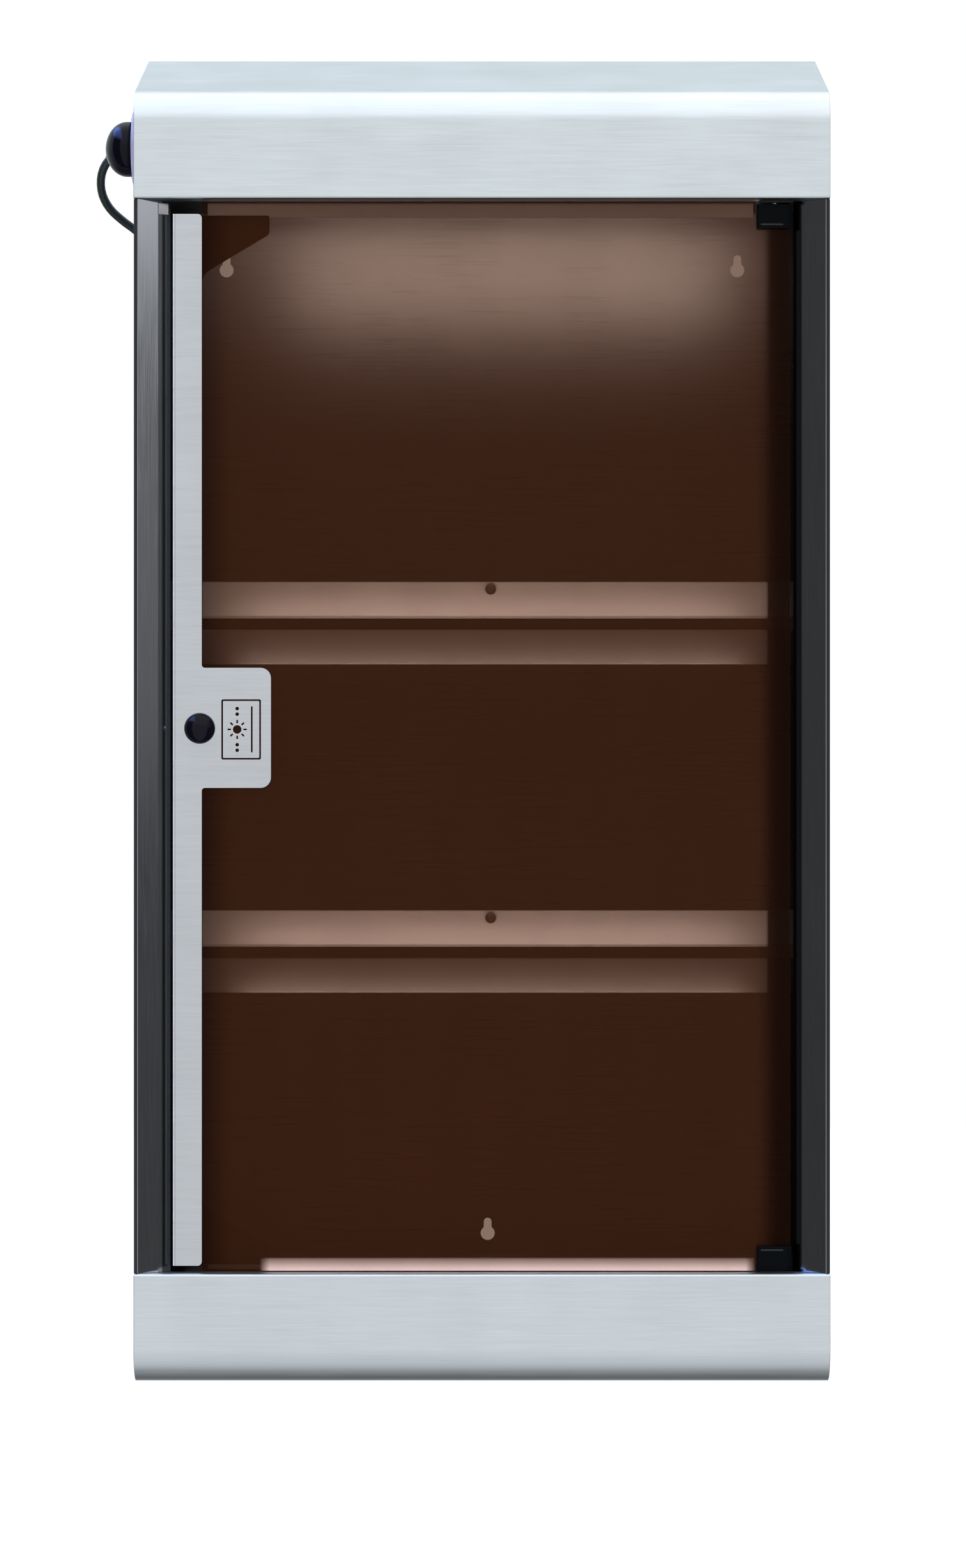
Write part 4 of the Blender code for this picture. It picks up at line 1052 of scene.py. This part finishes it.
def make_gland():
    low, high, centre = box_of("cord_gland")
    place = Matrix.Translation((0.0, centre.y, centre.z)) @ AXIS_MINUS_X
    outer = -low.x
    collar = outer - 0.0038
    profile = [(0.0, outer), (0.0062, outer), (0.0068, outer - 0.0004), (0.0074, outer - 0.0010)]
    profile += [(0.0088, outer - 0.0012), (0.0098, outer - 0.0020), (0.0100, outer - 0.0026)]
    profile += [(0.0100, collar), (0.0070, collar), (0.0070, -high.x), (0.0, -high.x)]
    builder = bmesh.new()
    turned(builder, profile, place)
    own("lead_gland", builder, "satin_black", "cabinet", ["cord_gland"], 30.0)


# ---- Carried-over nodes ------------------------------------------------------------------------


def paint_the_rest():
    finishes = {
        # The tray is black, which also stands in for the shade under the hood: painted shade.
        "electrics_tray": "black_zinc",
        "ballast": "zinc",
        "lamp_reflector": "bright",
        "lamp_tube": "lamp",
        "lamp_holder_left": "white",
        "lamp_holder_right": "white",
        "starter": "grey",
        "starter_socket": "white",
        "terminal_block": "white",
        "wire_supply": "wire",
        "wire_lamp": "wire",
        "timer_body": "grey",
        "timer_shaft": "bright",
        "timer_nut": "bright",
        "interlock_switch": "satin_black",
        "interlock_plunger": "bright",
    }
    for node, finish in finishes.items():
        paint(NODES[node], finish)


make_sheets()
make_handle_strip()
make_door_knob()
make_screws()
make_clamps()
make_timer()
make_gland()
paint_the_rest()


# ---- Stage and light ---------------------------------------------------------------------------

FLOOR_RADIUS = 2.4


def make_floor():
    builder = bmesh.new()
    bmesh.ops.create_circle(builder, cap_ends=True, radius=FLOOR_RADIUS, segments=96)
    mesh = bpy.data.meshes.new("floor")
    builder.to_mesh(mesh)
    builder.free()
    floor = link_new("floor", mesh)
    finish = Finish("floor", (0.12, 0.12, 0.12), 0.8)
    finish.set("Specular IOR Level", 0.1)
    finish.set("Emission Color", (1.0, 1.0, 1.0, 1.0))
    finish.set("Emission Strength", 0.93)
    floor.data.materials.append(finish.material)
    floor.visible_glossy = False


# Brightness of the studio by the angle over the top: 0 is straight ahead, 90 is overhead.
SWEEP = (
    (-180.0, 0.82),
    (-160.0, 0.50),
    (-130.0, 0.15),
    (-108.0, 0.20),
    (-92.0, 0.50),
    (-75.0, 0.76),
    (-55.0, 0.86),
    (-35.0, 0.89),
    (-16.0, 0.94),
    (-8.0, 1.00),
    (13.0, 1.00),
    (26.0, 1.40),
    (46.0, 1.49),
    (72.0, 1.46),
    (90.0, 1.66),
    (113.0, 1.68),
    (138.0, 0.83),
    (180.0, 0.82),
)

WHITE = (1.0, 1.0, 1.0, 1.0)
COOL_WHITE = (0.96, 1.06, 1.10, 1.0)
SKY_BLUE = (1.5, 2.8, 8.0, 1.0)
MIDDLE_TO_SIDE = (0.45, 0.85)


def studio_level(graph, x, toward, z, over):
    """Brightness for gloss: the sweep in the middle, even sides, and a dark panel on each side."""

    def smooth(value, start, end, low, high):
        return graph.spread(value, low, high, start, end, "SMOOTHSTEP")

    def band(value, start, rise, fall, end):
        """One between rise and fall, easing to nothing at start and end."""
        return graph.times(smooth(value, start, rise, 0.0, 1.0), smooth(value, fall, end, 1.0, 0.0))

    sweep = graph.node("ValToRGB")
    ramp = sweep.color_ramp
    ramp.interpolation = "EASE"
    for index, (angle, brightness) in enumerate(SWEEP):
        stop = ramp.elements[index] if index < 2 else ramp.elements.new(1.0)
        stop.position = (angle + 180.0) / 360.0
        stop.color = (brightness / 2.0, brightness / 2.0, brightness / 2.0, 1.0)
    graph.link(graph.math("DIVIDE", graph.plus(over, 180.0), 360.0), sweep.inputs["Fac"])
    degrees = graph.times(graph.math("ARCTAN2", x, toward), 180.0 / math.pi)
    elevation = graph.times(graph.math("ARCSINE", z), 180.0 / math.pi)
    sideways = graph.math("ABSOLUTE", x)
    middle = graph.times(sweep.outputs["Color"], smooth(sideways, *MIDDLE_TO_SIDE, 2.0, 0.0))
    side = smooth(elevation, -70.0, 25.0, 0.35, 1.0)
    sides = graph.times(side, smooth(sideways, *MIDDLE_TO_SIDE, 0.0, 1.0))
    low_enough = smooth(elevation, 26.0, 46.0, 1.0, 0.0)
    left_panel = graph.times(band(degrees, -96.0, -86.0, -44.0, -34.0), low_enough)
    right_panel = graph.times(band(degrees, 34.0, 44.0, 86.0, 96.0), low_enough)
    relief = graph.plus(smooth(elevation, -0.5, 0.8, 0.0, 0.11), smooth(elevation, 5.7, 7.6, 0.0, 0.66))
    relief = graph.times(relief, smooth(degrees, 66.0, 71.0, 1.0, 0.0))
    left_dark = graph.times(left_panel, 0.945)
    right_dark = graph.times(right_panel, graph.minus(1.0, graph.plus(0.075, relief)))
    lit = graph.minus(1.0, graph.plus(left_dark, right_dark))
    return graph.times(graph.plus(middle, sides), lit)


def studio_colour(graph, x, z, over, glossy):
    """Near white, cooler behind, with a blue patch of sky high on the left for gloss alone."""
    sky = graph.times(
        graph.spread(x, 1.0, 0.0, -0.52, -0.36, "SMOOTHSTEP"),
        graph.spread(z, 0.0, 1.0, 0.50, 0.60, "SMOOTHSTEP"),
    )
    tint = graph.node("Mix", data_type="RGBA")
    tint.inputs["A"].default_value = WHITE
    tint.inputs["B"].default_value = COOL_WHITE
    graph.link(graph.spread(over, 0.0, 1.0, 118.0, 150.0, "SMOOTHSTEP"), tint.inputs["Factor"])
    blue = graph.node("Mix", data_type="RGBA")
    blue.inputs["B"].default_value = SKY_BLUE
    graph.link(tint.outputs["Result"], blue.inputs["A"])
    graph.link(graph.times(sky, glossy), blue.inputs["Factor"])
    return blue.outputs["Result"]


def make_world():
    """Plain white to the camera, and a studio of varied brightness to everything else."""
    world = bpy.data.worlds.new("studio")
    bpy.context.scene.world = world
    world.use_nodes = True
    graph = Graph(world.node_tree)
    graph.tree.nodes.clear()
    x, y, z = graph.split(graph.node("TexCoord").outputs["Generated"])
    toward = graph.times(y, -1.0)
    over = graph.times(graph.math("ARCTAN2", z, toward), 180.0 / math.pi)
    path = graph.node("LightPath")
    studio = graph.node("Background")
    colour = studio_colour(graph, x, z, over, path.outputs["Is Glossy Ray"])
    graph.link(colour, studio.inputs["Color"])
    graph.link(studio_level(graph, x, toward, z, over), studio.inputs["Strength"])
    plain = graph.node("Background")
    plain.inputs["Color"].default_value = WHITE
    plain.inputs["Strength"].default_value = 1.0
    mix = graph.node("MixShader")
    graph.link(path.outputs["Is Camera Ray"], mix.inputs["Fac"])
    graph.link(studio.outputs["Background"], mix.inputs[1])
    graph.link(plain.outputs["Background"], mix.inputs[2])
    graph.link(mix.outputs["Shader"], graph.node("OutputWorld").inputs["Surface"])


def area_light(name, at, tilt, size, power, only=(), beam=180.0, unblocked=False):
    """A soft light, unseen by the camera and by gloss. A list in only names the pieces it lights."""
    data = bpy.data.lights.new(name, "AREA")
    data.shape = "RECTANGLE"
    data.size, data.size_y = size
    data.energy = power
    data.spread = math.radians(beam)
    light = link_new(name, data)
    light.location = at
    light.rotation_euler = (math.radians(tilt), 0.0, 0.0)
    light.visible_camera = False
    light.visible_glossy = False
    if only:
        group = bpy.data.collections.new(name + "_lit")
        for piece in only:
            group.objects.link(bpy.data.objects[piece])
        light.light_linking.receiver_collection = group
        if unblocked:
            light.light_linking.blocker_collection = group


# A light's tilt in degrees: 0 shines down, 90 at the back panel, more than 90 upward.
TOWARD_BACK = 90.0
RAIL_TILT = 115.0
PLATE_TILT = 150.0
RACK_LOW = {"upper": 0.5206, "lower": 0.2747}
RACK_MIDDLE = 0.008


def make_lights():
    """The lamp in the hood, the glow that it throws on the back, and light caught by the racks."""
    area_light("lamp_glow", (0.0, 0.040, 0.850), 0.0, (0.40, 0.018), 0.6)
    back = ["back_panel_fine"]
    area_light("back_glow", (0.020, -0.010, 0.815), TOWARD_BACK, (0.325, 0.055), 1.02, back, 110.0)
    for name, low in RACK_LOW.items():
        rail = [f"rack_rail_{name}_fine", f"rack_bolt_{name}"]
        rail_at = (RACK_MIDDLE, 0.010, low + 0.022)
        area_light(f"rail_fill_{name}", rail_at, RAIL_TILT, (0.385, 0.03), 1.1, rail)
        plate = [f"rack_plate_{name}_fine"]
        plate_at = (RACK_MIDDLE, 0.052, low - 0.011)
        area_light(f"plate_fill_{name}", plate_at, PLATE_TILT, (0.375, 0.004), 0.27, plate)
    lip = ["door_stop_top_fine"]
    area_light("top_lip_fill", (0.0, -0.9, 0.70), TOWARD_BACK, (0.8, 0.5), 8.0, lip, unblocked=True)


make_floor()
make_world()
make_lights()

scene = bpy.context.scene
scene.view_settings.view_transform = "Standard"
scene.view_settings.look = "None"
scene.view_settings.exposure = 0.0
scene.view_settings.gamma = 1.0
